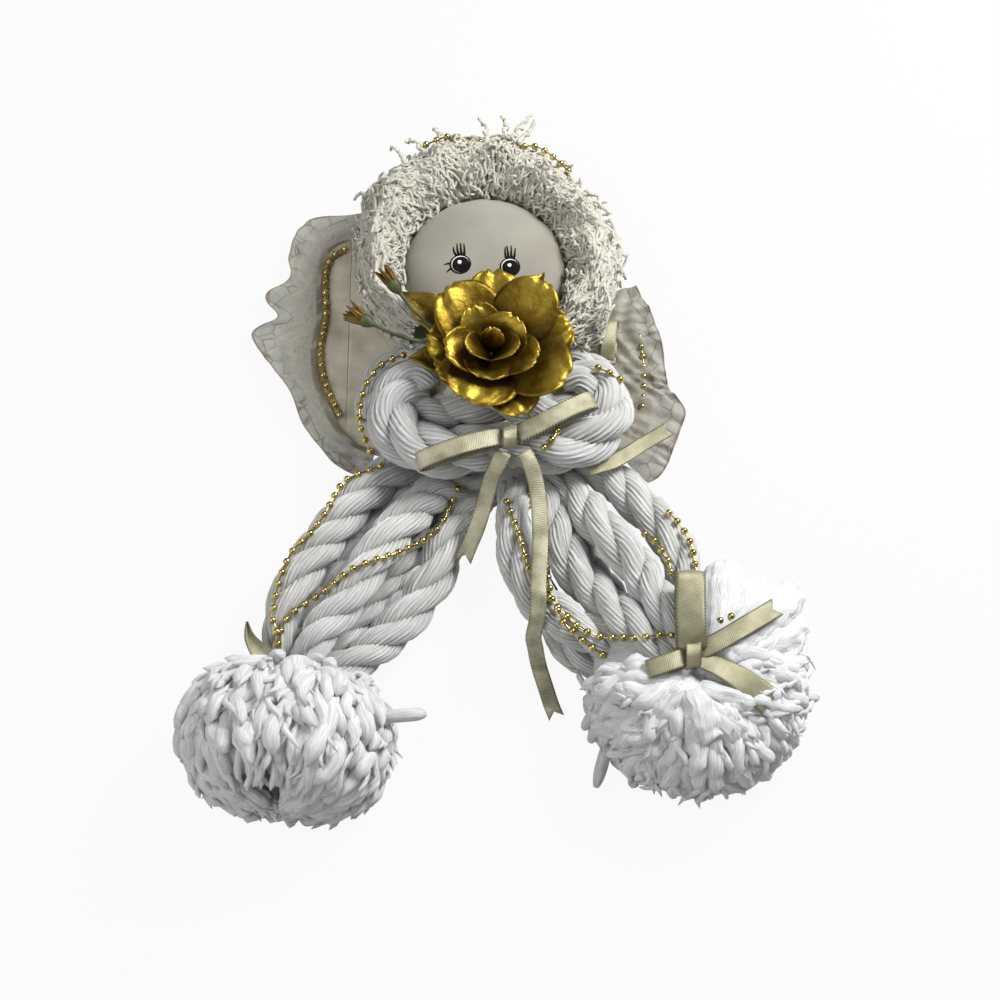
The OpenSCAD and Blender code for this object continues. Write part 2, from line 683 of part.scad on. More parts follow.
module ankle_bow_tails() {
    color("palegoldenrod") {
        ribbon(ankle_tail_up_route, [-0.3, 1, 0], end_w = ribbon_w * 1.3);
        ribbon(ankle_tail_down_route, [0.5, 1, 0], end_w = ribbon_w * 1.3);
    }
}

module right_outer_beads() {
    color("gold") beads(on_leg(right_outer_route, from = 0.4, to = 0.7, turn_from = 118, turn_to = 112));
}

module right_front_beads() {
    color("gold") beads(smooth(front_bead_route, 5));
}

module right_inner_beads() {
    color("gold") beads(smooth(inner_bead_route, 5));
}

back_panel();
chest_stitch();
left_shoulder_rope();
right_shoulder_rope();
left_collar_rope();
right_collar_rope();
chest_knot();
head_disc();
head_padding();
face_cover();
hair_wig();
halo_beads();
chest_beads();
rose_stem();
rose_calyx();
rose_outer_petals();
rose_middle_petals();
rose_inner_petals();
rose_heart();
rose_leaves();
bud_stems();
bud_heads();
bow_left_loop();
bow_right_loop();
bow_knot();
side_ribbon();
side_bow();
left_hip_binding();
left_outer_rope();
left_middle_rope();
left_inner_rope();
left_back_rope();
left_ankle_binding();
left_ankle_ribbon();
left_ribbon_end();
left_pompom();
left_outer_beads();
left_cross_beads();
bow_left_tail();
right_hip_binding();
right_outer_rope();
right_middle_rope();
right_inner_rope();
right_front_rope();
right_back_rope();
right_ankle_binding();
right_pompom();
ankle_bow_loops();
ankle_bow_tails();
right_outer_beads();
right_front_beads();
right_inner_beads();
bow_right_tail();
left_wing_panel();
left_wing_lace();
left_wing_beads();
right_wing_panel();
right_wing_lace();
right_wing_beads();
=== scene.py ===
import json
import bpy
import numpy as np
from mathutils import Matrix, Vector


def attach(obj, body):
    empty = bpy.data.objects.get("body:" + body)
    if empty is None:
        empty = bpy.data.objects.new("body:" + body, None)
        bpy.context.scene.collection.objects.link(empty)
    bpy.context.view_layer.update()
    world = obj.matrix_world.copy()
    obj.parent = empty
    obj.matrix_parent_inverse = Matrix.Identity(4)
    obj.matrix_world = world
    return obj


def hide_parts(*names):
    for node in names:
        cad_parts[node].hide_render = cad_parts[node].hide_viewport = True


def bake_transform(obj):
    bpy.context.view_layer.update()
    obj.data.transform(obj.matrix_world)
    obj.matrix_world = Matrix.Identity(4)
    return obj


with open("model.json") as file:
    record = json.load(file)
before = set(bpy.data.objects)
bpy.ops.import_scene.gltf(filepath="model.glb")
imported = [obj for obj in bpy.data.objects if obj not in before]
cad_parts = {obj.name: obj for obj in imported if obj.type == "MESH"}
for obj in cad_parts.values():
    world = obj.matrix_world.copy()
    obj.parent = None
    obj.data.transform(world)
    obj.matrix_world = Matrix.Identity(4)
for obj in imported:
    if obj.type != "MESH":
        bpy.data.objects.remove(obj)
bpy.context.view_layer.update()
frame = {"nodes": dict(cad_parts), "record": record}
print("frame loaded:", len(frame["nodes"]), "nodes")

# All settings are in millimetres and degrees; meshes are written in metres
metre = 0.001
upward = np.array([0.0, 0.0, 1.0])
bodyOf = {node: body for body, nodes in frame["record"]["behaviour"]["bodies"].items() for node in nodes}

cameraSettings = {"target": (0, -22, 20), "distance": 800, "elevation": 70, "lens": 64, "sensor": 36}


def placeCamera(settings):
    lean = np.radians(settings["elevation"])
    away = np.array([0, -np.cos(lean), np.sin(lean)])
    lens = bpy.data.cameras.new("viewCamera")
    lens.lens, lens.sensor_width = settings["lens"], settings["sensor"]
    camera = bpy.data.objects.new("viewCamera", lens)
    camera.location = (np.array(settings["target"]) + away * settings["distance"]) * metre
    camera.rotation_euler = Vector(-away).to_track_quat("-Z", "Y").to_euler()
    bpy.context.scene.collection.objects.link(camera)
    bpy.context.scene.camera = camera


placeCamera(cameraSettings)


# Paths

def unit(v):
    return v / np.maximum(np.linalg.norm(v, axis=-1, keepdims=True), 1e-9)


def lengthAlong(path):
    return np.concatenate([[0], np.cumsum(np.linalg.norm(np.diff(path, axis=0), axis=1))])


def evenly(path, count):
    # Points at even lengths along a path
    s = lengthAlong(path)
    return np.column_stack([np.interp(np.linspace(0, s[-1], count), s, column) for column in path.T])


def smoothPath(points, count):
    # Catmull-Rom curve through the points, then resampled at even lengths
    p = np.array(points, float)
    padded = np.vstack([p[:1], p, p[-1:]])
    t = np.linspace(0, len(p) - 1, 40 * (len(p) - 1) + 1)
    i = np.minimum(t.astype(int), len(p) - 2)
    f = (t - i)[:, None]
    a, b, c, d = padded[i], padded[i + 1], padded[i + 2], padded[i + 3]
    curve = 0.5 * (2 * b + (c - a) * f + (2 * a - 5 * b + 4 * c - d) * f ** 2 + (3 * b - a - 3 * c + d) * f ** 3)
    return evenly(curve, count)


def steppedPath(route, step, least=0):
    # A smooth path with a point every step millimetres
    return smoothPath(route, max(least, int(lengthAlong(smoothPath(route, 200))[-1] / step)))


def waves(rng, count, s, lengths, sizes):
    # Sum of sines with random phases, one row for each strand
    total = np.zeros((count, len(s)))
    for length, size in zip(lengths, sizes):
        stretch = rng.uniform(0.8, 1.25, (count, 1))
        total += size * np.sin(2 * np.pi * (s / (length * stretch) + rng.uniform(0, 1, (count, 1))))
    return total


def spokes(w, across, rise):
    # Directions at the angles w round an axis
    return np.cos(w)[..., None] * across + np.sin(w)[..., None] * rise


def axesAlong(direction):
    axis = unit(np.array(direction, float))
    rise = unit(upward - (axis @ upward) * axis)
    return axis, np.cross(rise, axis), rise


# Meshes

def makePiece(name, points, faces, material, uv=None, masks=None):
    mesh = bpy.data.meshes.new(name)
    corners = np.concatenate([f.ravel() for f in faces]).astype(np.int32)
    sizes = np.concatenate([np.full(len(f), f.shape[1]) for f in faces])
    starts = np.concatenate([[0], np.cumsum(sizes)[:-1]]).astype(np.int32)
    mesh.vertices.add(len(points))
    mesh.vertices.foreach_set("co", (points * metre).astype(np.float32).ravel())
    mesh.loops.add(len(corners))
    mesh.loops.foreach_set("vertex_index", corners)
    mesh.polygons.add(len(sizes))
    mesh.polygons.foreach_set("loop_start", starts)
    mesh.polygons.foreach_set("use_smooth", np.ones(len(sizes), bool))
    if uv is not None:
        mesh.uv_layers.new(name="flatMap").data.foreach_set("uv", uv.astype(np.float32).ravel())
    for key, values in (masks or {}).items():
        mesh.attributes.new(key, "FLOAT", "POINT").data.foreach_set("value", values.astype(np.float32).ravel())
    mesh.update(calc_edges=True)
    mesh.validate()
    mesh.materials.append(material)
    piece = bpy.data.objects.new(name, mesh)
    bpy.context.scene.collection.objects.link(piece)
    return piece


def gridFaces(rows, cols, closed=False):
    i = np.arange(rows - 1)[:, None]
    j = np.arange(cols if closed else cols - 1)[None, :]
    ahead = (j + 1) % cols
    return np.stack([i * cols + j, i * cols + ahead, (i + 1) * cols + ahead, (i + 1) * cols + j], -1).reshape(-1, 4)


def gridMap(along, around):
    # Corner places (along, around) for gridFaces; a closed grid has one more value around than columns
    i = np.arange(len(along) - 1)[:, None]
    j = np.arange(len(around) - 1)[None, :]
    u = np.stack([along[i] + 0 * j, along[i] + 0 * j, along[i + 1] + 0 * j, along[i + 1] + 0 * j], -1)
    v = np.stack([around[j] + 0 * i, around[j + 1] + 0 * i, around[j + 1] + 0 * i, around[j] + 0 * i], -1)
    return np.stack([u, v], -1).reshape(-1, 2)


def poleFans(rows, columns):
    # Closes both ends of a closed grid with triangles to two poles, whose points follow the grid's
    size = rows * columns
    j = np.arange(columns)
    after = (j + 1) % columns
    return np.concatenate([np.stack([np.full(columns, size), after, j], 1),
                           np.stack([np.full(columns, size + 1), size - columns + j, size - columns + after], 1)])


def turned(fans):
    return fans[:, [0, 2, 1]]


def joinParts(parts):
    # Each part is (points, faces by size, corner places by size); the result is one of the same
    points, byCount, maps, base = [], {}, {}, 0
    for p, faces, uv in parts:
        points.append(p)
        for f, m in zip(faces, uv):
            byCount.setdefault(f.shape[1], []).append(f + base)
            maps.setdefault(f.shape[1], []).append(m)
        base += len(p)
    keys = sorted(byCount)
    return (np.concatenate(points), [np.concatenate(byCount[k]) for k in keys],
            [np.concatenate(maps[k]) for k in keys])


def tubeSet(paths, radii, sides, flute=0.0, lobes=0):
    # Many tubes of the same size of grid: paths (n, m, 3), radii (n, m); lobes cut round-bottomed grooves
    radii = np.broadcast_to(radii, paths.shape[:2])
    count, rings = radii.shape
    ahead = unit(np.gradient(paths, axis=1))
    pick = np.eye(3)[np.abs(ahead).mean(axis=1).argmin(axis=1)][:, None, :]
    out = unit(pick - (ahead * pick).sum(-1, keepdims=True) * ahead)
    side = np.cross(ahead, out)
    angle = np.linspace(0, 2 * np.pi, sides + 1)
    rim = 1 - flute + flute * np.abs(np.sin(angle[:-1] * lobes / 2)) if lobes else np.ones(sides)
    spoke = spokes(angle[:-1], out[:, :, None], side[:, :, None])
    ring = paths[:, :, None] + (radii[..., None] * rim)[..., None] * spoke
    first = paths[:, :1] - ahead[:, :1] * radii[:, :1, None] * 0.5
    last = paths[:, -1:] + ahead[:, -1:] * radii[:, -1:, None] * 0.5
    points = np.concatenate([ring.reshape(count, -1, 3), first, last], axis=1)
    shift = (np.arange(count) * (rings * sides + 2))[:, None, None]
    quads = (gridFaces(rings, sides, True)[None] + shift).reshape(-1, 4)
    tris = (poleFans(rings, sides)[None] + shift).reshape(-1, 3)
    # Each tube has its own stretch of the flat map
    far = np.linalg.norm(np.diff(paths, axis=1), axis=2).mean(axis=1)
    girth = 2 * np.pi * radii.mean(axis=1)
    flat = gridMap(np.arange(rings, dtype=float), angle / (2 * np.pi))
    flat = flat[None] * np.stack([far, girth], 1)[:, None, :]
    flat[..., 0] += 41.3 * np.arange(count)[:, None]
    tip = np.zeros((count, 2 * sides, 3, 2))
    tip[..., 0] = 41.3 * np.arange(count)[:, None, None]
    return points.reshape(-1, 3), [quads, tris], [flat.reshape(-1, 2), tip.reshape(-1, 2)]


def placePiece(name, part, material, body, masks=None):
    points, faces, uv = part
    order = np.argsort([f.shape[1] for f in faces])
    piece = makePiece(name, points, [faces[k] for k in order], material,
                      np.concatenate([uv[k] for k in order]), masks)
    if body:
        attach(piece, body)
    return piece


def camel(name):
    first, *rest = name.split("_")
    return first + "".join(word.title() for word in rest)


def standFor(node, part, material, masks=None, also=(), rides=True):
    # The piece that is shown in place of a CAD node, on the node's own body
    piece = placePiece(camel(node), part, material, bodyOf[node] if rides else None, masks)
    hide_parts(node, *also)
    return piece


def thicken(piece, thickness):
    shell = piece.modifiers.new("thickness", "SOLIDIFY")
    shell.thickness = thickness * metre
    shell.offset = 0


# Materials

def addNode(tree, kind, **settings):
    made = tree.nodes.new(kind)
    for key, value in settings.items():
        setattr(made, key, value)
    return made


def mathNode(tree, operation, first, second=None):
    made = addNode(tree, "ShaderNodeMath", operation=operation)
    for k, value in enumerate((first, second)):
        if isinstance(value, (int, float)):
            made.inputs[k].default_value = value
        elif value is not None:
            tree.links.new(value, made.inputs[k])
    return made.outputs[0]


def times(tree, first, second):
    return mathNode(tree, "MULTIPLY", first, second)


def scaled(tree, value, gain, offset):
    return mathNode(tree, "ADD", times(tree, value, gain), offset)


def placeIn(tree, kind):
    return addNode(tree, "ShaderNodeTexCoord").outputs[kind]


def axesIn(tree, kind):
    split = addNode(tree, "ShaderNodeSeparateXYZ")
    tree.links.new(placeIn(tree, kind), split.inputs[0])
    return split.outputs


def newGroup(name, inputs, outputs):
    group = bpy.data.node_groups.new(name, "ShaderNodeTree")
    for label, value in inputs.items():
        group.interface.new_socket(label, in_out="INPUT", socket_type="NodeSocketFloat").default_value = value
    for label in outputs:
        group.interface.new_socket(label, in_out="OUTPUT", socket_type="NodeSocketFloat")
    return group, addNode(group, "NodeGroupInput").outputs, addNode(group, "NodeGroupOutput").inputs


def streakGroup():
    # Noise drawn out along the yarn, from the flat map in millimetres
    tree, given, result = newGroup("yarnStreaks", {"Along": 0.2, "Around": 2.5}, ("Tone", "Height"))
    split = axesIn(tree, "UV")
    drawn = addNode(tree, "ShaderNodeCombineXYZ")
    for k, label in enumerate(("Along", "Around")):
        tree.links.new(times(tree, split[k], given[label]), drawn.inputs[k])
    for label, scale, detail in (("Tone", 0.6, 2.0), ("Height", 1.3, 3.0)):
        noise = addNode(tree, "ShaderNodeTexNoise")
        noise.inputs["Scale"].default_value = scale
        noise.inputs["Detail"].default_value = detail
        tree.links.new(drawn.outputs[0], noise.inputs["Vector"])
        tree.links.new(noise.outputs["Fac"], result[label])
    return tree


def weaveGroup():
    # Crossing threads from the flat map in millimetres: the product of two sines
    tree, given, result = newGroup("clothWeave", {"Threads": 1.6, "Slant": 0.0}, ("Height",))
    split = axesIn(tree, "UV")
    slanted = mathNode(tree, "ADD", split[0], times(tree, split[1], given["Slant"]))
    warp, weft = (mathNode(tree, "SINE", times(tree, times(tree, source, given["Threads"]), 2 * np.pi))
                  for source in (slanted, split[1]))
    tree.links.new(times(tree, warp, weft), result["Height"])
    return tree


def cloudGroup():
    # Soft patches in the part's own space, Scale patches to a metre
    tree, given, result = newGroup("softPatches", {"Scale": 60.0, "Detail": 3.0}, ("Tone",))
    noise = addNode(tree, "ShaderNodeTexNoise")
    tree.links.new(placeIn(tree, "Object"), noise.inputs["Vector"])
    for label in ("Scale", "Detail"):
        tree.links.new(given[label], noise.inputs[label])
    tree.links.new(noise.outputs["Fac"], result["Tone"])
    return tree


streaks, weave, clouds = streakGroup(), weaveGroup(), cloudGroup()


def useGroup(tree, group, **settings):
    made = addNode(tree, "ShaderNodeGroup", node_tree=group)
    for key, value in settings.items():
        made.inputs[key].default_value = value
    return made.outputs


def newMaterial(name, rough, metal=0.0, sheen=0.0, gloss=0.5):
    made = bpy.data.materials.new(name)
    made.use_nodes = True
    shader = made.node_tree.nodes["Principled BSDF"].inputs
    for label, value in (("Roughness", rough), ("Metallic", metal), ("Sheen Weight", sheen),
                         ("Specular IOR Level", gloss)):
        shader[label].default_value = value
    return made, made.node_tree, shader


def ramp(tree, factor, stops):
    made = addNode(tree, "ShaderNodeValToRGB")
    while len(made.color_ramp.elements) < len(stops):
        made.color_ramp.elements.new(0.5)
    for element, (place, colour) in zip(made.color_ramp.elements, stops):
        element.position = place
        element.color = (*colour, 1)
    tree.links.new(factor, made.inputs["Fac"])
    return made.outputs["Color"]


def fade(tree, factor, start, end, first=0):
    # From black to white between two values, or the other way round where first is 1
    return ramp(tree, factor, [(start, (first,) * 3), (end, (1 - first,) * 3)])


def mixColour(tree, factor, first, second, blend="MIX"):
    made = addNode(tree, "ShaderNodeMix", data_type="RGBA", blend_type=blend)
    for socket, value in ((made.inputs[0], factor), (made.inputs[6], first), (made.inputs[7], second)):
        if isinstance(value, (int, float)):
            socket.default_value = value
        elif isinstance(value, tuple):
            socket.default_value = (*value, 1)
        else:
            tree.links.new(value, socket)
    return made.outputs[2]


def bump(tree, shader, height, distance, strength=1.0):
    made = addNode(tree, "ShaderNodeBump")
    made.inputs["Distance"].default_value = distance * metre
    made.inputs["Strength"].default_value = strength
    tree.links.new(height, made.inputs["Height"])
    tree.links.new(made.outputs["Normal"], shader["Normal"])


def maskOf(tree, name):
    return addNode(tree, "ShaderNodeAttribute", attribute_name=name, attribute_type="GEOMETRY").outputs["Fac"]


def yarnMaterial(name, dark, light, hollow, along, around, relief, rough=0.75):
    # Streaked yarn, mixed toward the painted shade colour hollow where the mask called paintedShade is high
    made, tree, shader = newMaterial(name, rough, sheen=0.3, gloss=0.3)
    grain = useGroup(tree, streaks, Along=along, Around=around)
    tone = ramp(tree, grain["Tone"], [(0.34, dark), (0.62, light)])
    colour = mixColour(tree, maskOf(tree, "paintedShade"), tone, hollow)
    patch = useGroup(tree, clouds, Scale=35.0)["Tone"]
    shade = ramp(tree, patch, [(0.3, (0.9, 0.9, 0.9)), (0.6, (1, 1, 1))])
    tree.links.new(mixColour(tree, 1.0, colour, shade, "MULTIPLY"), shader["Base Color"])
    bump(tree, shader, grain["Height"], relief)
    return made


def clothMaterial(name, dark, light, threads, relief, rough, patches):
    made, tree, shader = newMaterial(name, rough, sheen=0.2, gloss=0.3)
    patch = useGroup(tree, clouds, Scale=patches)["Tone"]
    tree.links.new(ramp(tree, patch, [(0.3, dark), (0.68, light)]), shader["Base Color"])
    bump(tree, shader, useGroup(tree, weave, Threads=threads)["Height"], relief)
    return made


def ribbonMaterial(name, dark, light, edge):
    # Metallic weave with a slant; the mask called edge marks the wired selvedge, which is dashed
    made, tree, shader = newMaterial(name, 0.38, 0.5, 0.1)
    grain = useGroup(tree, weave, Threads=1.25, Slant=0.8)["Height"]
    level = scaled(tree, grain, 0.28, useGroup(tree, clouds, Scale=130.0)["Tone"])
    tone = ramp(tree, level, [(0.25, dark), (0.75, light)])
    beat = mathNode(tree, "SINE", times(tree, axesIn(tree, "UV")[0], 4.2))
    dash = times(tree, maskOf(tree, "edge"), scaled(tree, beat, 0.4, 0.5))
    tree.links.new(mixColour(tree, dash, tone, edge), shader["Base Color"])
    bump(tree, shader, grain, 0.05)
    return made


def foilMaterial(name, deep, middle, bright, rough):
    # Gold foil cloth: the mask called depth runs from 0 at the lip to 1 in the fold, and the colour runs with it from
    # bright to deep, which is painted shade in the folds
    made, tree, shader = newMaterial(name, rough, 0.85)
    worn = scaled(tree, useGroup(tree, clouds, Scale=160.0, Detail=4.0)["Tone"], 0.9, -0.45)
    level = mathNode(tree, "ADD", maskOf(tree, "depth"), worn)
    tree.links.new(ramp(tree, level, [(0.0, bright), (0.4, middle), (0.95, deep)]), shader["Base Color"])
    bump(tree, shader, useGroup(tree, clouds, Scale=420.0, Detail=5.0)["Tone"], 0.5, 0.7)
    return made


def cellEdges(tree, scale):
    cells = addNode(tree, "ShaderNodeTexVoronoi", feature="DISTANCE_TO_EDGE")
    cells.inputs["Scale"].default_value = scale
    tree.links.new(placeIn(tree, "UV"), cells.inputs["Vector"])
    return cells.outputs["Distance"]


def laceMaterial():
    # Sheer cloth with thin net lines from cell edges; the mask called reach is 0 at the seam and 1 at the edge
    made, tree, shader = newMaterial("laceNet", 0.7, sheen=0.2)
    crack = fade(tree, cellEdges(tree, 0.13), 0.012, 0.045, 1)
    net = fade(tree, cellEdges(tree, 0.8), 0.04, 0.16, 1)
    patch = useGroup(tree, clouds, Scale=150.0, Detail=3.0)["Tone"]
    motif = fade(tree, patch, 0.48, 0.58)
    reach = maskOf(tree, "reach")
    far = fade(tree, reach, 0.5, 0.7)
    rim = fade(tree, reach, 0.955, 0.975)
    ground = ramp(tree, reach, [(0.0, (0.19, 0.165, 0.11)), (0.4, (0.25, 0.24, 0.195)), (1.0, (0.275, 0.295, 0.28))])
    worked = mixColour(tree, times(tree, motif, 0.75), ground, (0.4, 0.385, 0.33))
    netted = mixColour(tree, times(tree, net, 0.35), worked, (0.3, 0.26, 0.18))
    line = mathNode(tree, "MAXIMUM", times(tree, crack, far), rim)
    tree.links.new(mixColour(tree, times(tree, line, 0.8), netted, (0.17, 0.12, 0.06)), shader["Base Color"])
    cover = scaled(tree, motif, 0.1, 0.85)
    tree.links.new(mathNode(tree, "MAXIMUM", mathNode(tree, "MAXIMUM", line, net), cover), shader["Alpha"])
    bump(tree, shader, patch, 0.7, 0.8)
    return made


def plainMaterial(name, dark, light, patches, rough, metal=0.0, relief=0.0, gloss=0.5):
    # One colour that drifts between two tones in soft patches
    made, tree, shader = newMaterial(name, rough, metal, gloss=gloss)
    patch = useGroup(tree, clouds, Scale=patches)["Tone"]
    tree.links.new(ramp(tree, patch, [(0.35, dark), (0.65, light)]), shader["Base Color"])
    if relief:
        bump(tree, shader, patch, relief)
    return made


# The third colour of each yarn, hollow, is the colour of its painted shade
ropeYarn = yarnMaterial("ropeYarn", (0.58, 0.585, 0.57), (0.92, 0.925, 0.91), (0.2, 0.195, 0.15),
                        along=0.1, around=2.6, relief=0.7, rough=0.6)
pompomYarn = yarnMaterial("pompomYarn", (0.68, 0.69, 0.7), (0.93, 0.94, 0.94), (0.2, 0.2, 0.2),
                          along=0.16, around=2.8, relief=0.6)
wigYarn = yarnMaterial("wigYarn", (0.66, 0.635, 0.53), (0.9, 0.875, 0.755), (0.4, 0.37, 0.29),
                       along=0.9, around=2.4, relief=0.8)
threadYarn = yarnMaterial("threadYarn", (0.5, 0.49, 0.45), (0.74, 0.73, 0.69), (0.3, 0.27, 0.22),
                          along=0.3, around=3.0, relief=0.2)
muslin = clothMaterial("muslin", (0.28, 0.262, 0.215), (0.37, 0.35, 0.295),
                       threads=1.5, relief=0.06, rough=0.8, patches=30.0)
panelSatin = clothMaterial("panelSatin", (0.58, 0.53, 0.4), (0.9, 0.84, 0.7),
                           threads=1.2, relief=0.05, rough=0.42, patches=80.0)
ribbonWeave = ribbonMaterial("ribbonWeave", (0.2, 0.185, 0.105), (0.64, 0.61, 0.44), (0.05, 0.04, 0.012))
ribbonPale = ribbonMaterial("ribbonPale", (0.22, 0.2, 0.11), (0.46, 0.435, 0.3), (0.07, 0.055, 0.015))
goldFoil = foilMaterial("goldFoil", (0.03, 0.014, 0.002), (0.165, 0.1, 0.007), (0.43, 0.3, 0.038), rough=0.43)
leafFoil = foilMaterial("leafFoil", (0.025, 0.015, 0.002), (0.13, 0.085, 0.01), (0.3, 0.22, 0.045), rough=0.42)
budFoil = foilMaterial("budFoil", (0.03, 0.014, 0.004), (0.16, 0.1, 0.02), (0.38, 0.29, 0.08), rough=0.45)
goldBead = plainMaterial("goldBead", (0.36, 0.28, 0.08), (0.66, 0.55, 0.22),
                         patches=220.0, rough=0.11, metal=1.0)
seamBraid = plainMaterial("seamBraid", (0.16, 0.1, 0.03), (0.4, 0.29, 0.12),
                          patches=380.0, rough=0.65, relief=0.6)
stemGreen = plainMaterial("stemGreen", (0.03, 0.04, 0.012), (0.09, 0.11, 0.035),
                          patches=150.0, rough=0.55, relief=0.2)
cardBoard = plainMaterial("cardBoard", (0.42, 0.33, 0.21), (0.58, 0.48, 0.33),
                          patches=90.0, rough=0.85)
inkBlack = plainMaterial("inkBlack", (0.005, 0.005, 0.005), (0.014, 0.013, 0.012),
                         patches=260.0, rough=0.8, gloss=0.05)
inkWhite = plainMaterial("inkWhite", (0.66, 0.65, 0.63), (0.8, 0.79, 0.77),
                         patches=200.0, rough=0.8, gloss=0.1)
laceNet = laceMaterial()
print("materials ready")


# Ribbons: a strip along a route, its width along the across direction; ends is its share at start and end

ribbonShape = {"step": 1.5, "columns": 9, "forkRun": 9, "thick": 0.5}


def edgeMask(v, rows):
    return np.tile((np.abs(v) > 0.9).astype(float), rows)


def ribbonStrip(route, across, width, ends=(1, 1), curl=0.3, fork=0.0):
    path = steppedPath(route, ribbonShape["step"], 8)
    s = lengthAlong(path)
    t = s / s[-1]
    ahead = unit(np.gradient(path, axis=0))
    reach = np.array(across, float)
    reach = unit(reach - (ahead @ reach)[:, None] * ahead)
    lift = np.cross(ahead, reach)
    v = np.linspace(-1, 1, ribbonShape["columns"])
    half = 0.5 * width * (ends[0] + (ends[1] - ends[0]) * t)
    # A forked end draws the middle of the last rows back along the route
    back = fork * np.clip(1 - (s[-1] - s) / ribbonShape["forkRun"], 0, 1)[:, None] ** 2 * (1 - np.abs(v))
    points = (path[:, None] + half[:, None, None] * v[:, None] * reach[:, None]
              + curl * (1 - v ** 2)[:, None] * lift[:, None] - back[..., None] * ahead[:, None])
    part = points.reshape(-1, 3), [gridFaces(len(path), len(v))], [gridMap(s, 0.5 * width * v)]
    return part, edgeMask(v, len(path)), path


def ribbonPiece(node, strips, material):
    parts, edges, paths = zip(*[ribbonStrip(**strip) for strip in strips])
    piece = standFor(node, joinParts(parts), material, {"edge": np.concatenate(edges)})
    thicken(piece, ribbonShape["thick"])
    return piece, paths


# Cords first: the two long tails of the chest bow, laid on the legs
bowTails = {
    "bow_left_tail": {"lay": "hanging", "strip": {"route": [[1.5, -8.5, 45], [-0.5, -13, 43], [-3.5, -18, 38],
        [-6, -24, 31], [-10, -36, 25], [-13.5, -44, 22], [-16.5, -51, 20]], "across": [1, -0.3, 0], "width": 7.4,
        "fork": 3.0}},
    "bow_right_tail": {"lay": "loose", "strip": {"route": [[10.5, -8.5, 45], [13, -13.5, 44], [15.5, -21, 42],
        [17, -31.5, 40.8], [17.5, -45, 40.4], [17, -58, 40.2], [16.5, -68, 40], [16.5, -75, 39.6], [16, -82, 36.4],
        [14.5, -87, 26], [15.5, -89.5, 16], [16.5, -92.5, 8], [18, -97, 3], [20, -103, 1.3], [22.5, -111, 0.8],
        [25, -117.5, 0.8]], "across": [1, 0.1, 0], "width": 7.0, "fork": 3.0}}}


def layTail(node, lay, strip):
    piece, paths = ribbonPiece(node, [strip], ribbonWeave)


for node, settings in bowTails.items():
    layTail(node, **settings)
print("cords laid:", len(bowTails))

# Ribbons of the bows and ankles, each a list of strips
ribbons = {
    "bow_left_loop": [{"route": [[1, -2.5, 45.6], [-10, -6, 47], [-22, -10, 46.4], [-33, -13, 44], [-36, -14, 46],
        [-33, -13, 48.5], [-21, -9, 50.8], [-9, -5, 50], [1, -2, 47.6]], "across": [-0.3, 1, 0], "width": 8.4}],
    "bow_right_loop": [{"route": [[7.5, -1.5, 45.6], [18, 3, 47], [29, 9, 47], [39, 13.5, 46.5], [42, 14.5, 48.6],
        [39, 13.5, 51], [28, 8, 52], [17, 2.5, 50.5], [7.5, -1, 47.6]], "across": [-0.45, 1, 0], "width": 8.4}],
    "bow_knot": [{"route": [[4.4, -6.4, 44.5], [4.4, -7.4, 46.6], [4.3, -5.6, 50.4], [4.3, -2, 51.6],
        [4.3, 1.6, 50.4], [4.4, 3.2, 46.6], [4.4, 2, 44]], "across": [1, 0.15, 0], "width": 6.2}],
    "side_ribbon": [{"route": [[39, -11, 29.6], [44, -9.4, 29.6], [50, -7, 28], [57, -2.6, 26.6], [66, 4, 24.8],
        [77, 11, 24]], "across": [-0.5, 1, 0], "width": 6.8, "fork": 2.0}],
    "side_bow": [{"route": [[51, 52, 5], [52, 60, 4.5], [53, 70, 5], [53, 73, 8], [52, 69, 11], [51, 60, 11.5],
        [50, 52, 9]], "across": [1, 0, 0], "width": 7}],
    "left_ribbon_end": [{"route": [[-97, -102, 31], [-103, -96, 32.4], [-108, -89, 31.6], [-110, -81, 28]],
        "across": [1, 0.7, 0], "width": 11.5, "ends": (1, 0.06), "curl": 1.6}],
    "ankle_bow_loops": [
        {"route": [[80.5, -99, 46.4], [80, -90, 50.8], [80, -78, 51.4], [80.4, -70, 52], [80.6, -67, 54],
            [80.4, -70, 56], [80, -80, 56], [80, -91, 54.4], [80.5, -99, 49]], "across": [1, 0, 0], "width": 12.5,
            "curl": 0.8},
        {"route": [[77.4, -102.6, 46], [72, -104.5, 46], [66, -106.5, 45.4], [61.5, -107.6, 47], [66, -106.5, 48.8],
            [72, -104.5, 49.6], [77.4, -102.6, 48.6]], "across": [-0.3, 1, 0], "width": 8},
        {"route": [[81, -107, 46.5], [81, -106, 49.6], [81, -101, 52], [81, -96, 50.8], [81, -94.6, 47]],
            "across": [1, 0.2, 0], "width": 6.4}],
    "ankle_bow_tails": [
        {"route": [[83.2, -99.6, 47.4], [92, -96, 50], [104, -89, 50.4], [118, -80, 47]], "across": [-0.5, 1, 0],
            "width": 8.4, "fork": 3.0},
        {"route": [[83.2, -102.8, 47], [92, -107, 49], [102, -113, 48.4], [113, -121, 44.4]], "across": [0.6, 1, 0],
            "width": 9, "ends": (0.8, 1.45)}]}
for node, strips in ribbons.items():
    ribbonPiece(node, strips, ribbonWeave if node.startswith("bow") else ribbonPale)
print("ribbons tied:", len(ribbons))


# Ropes: three strands round the route, each a ring of yarns; swell is the share of the radius at its two ends

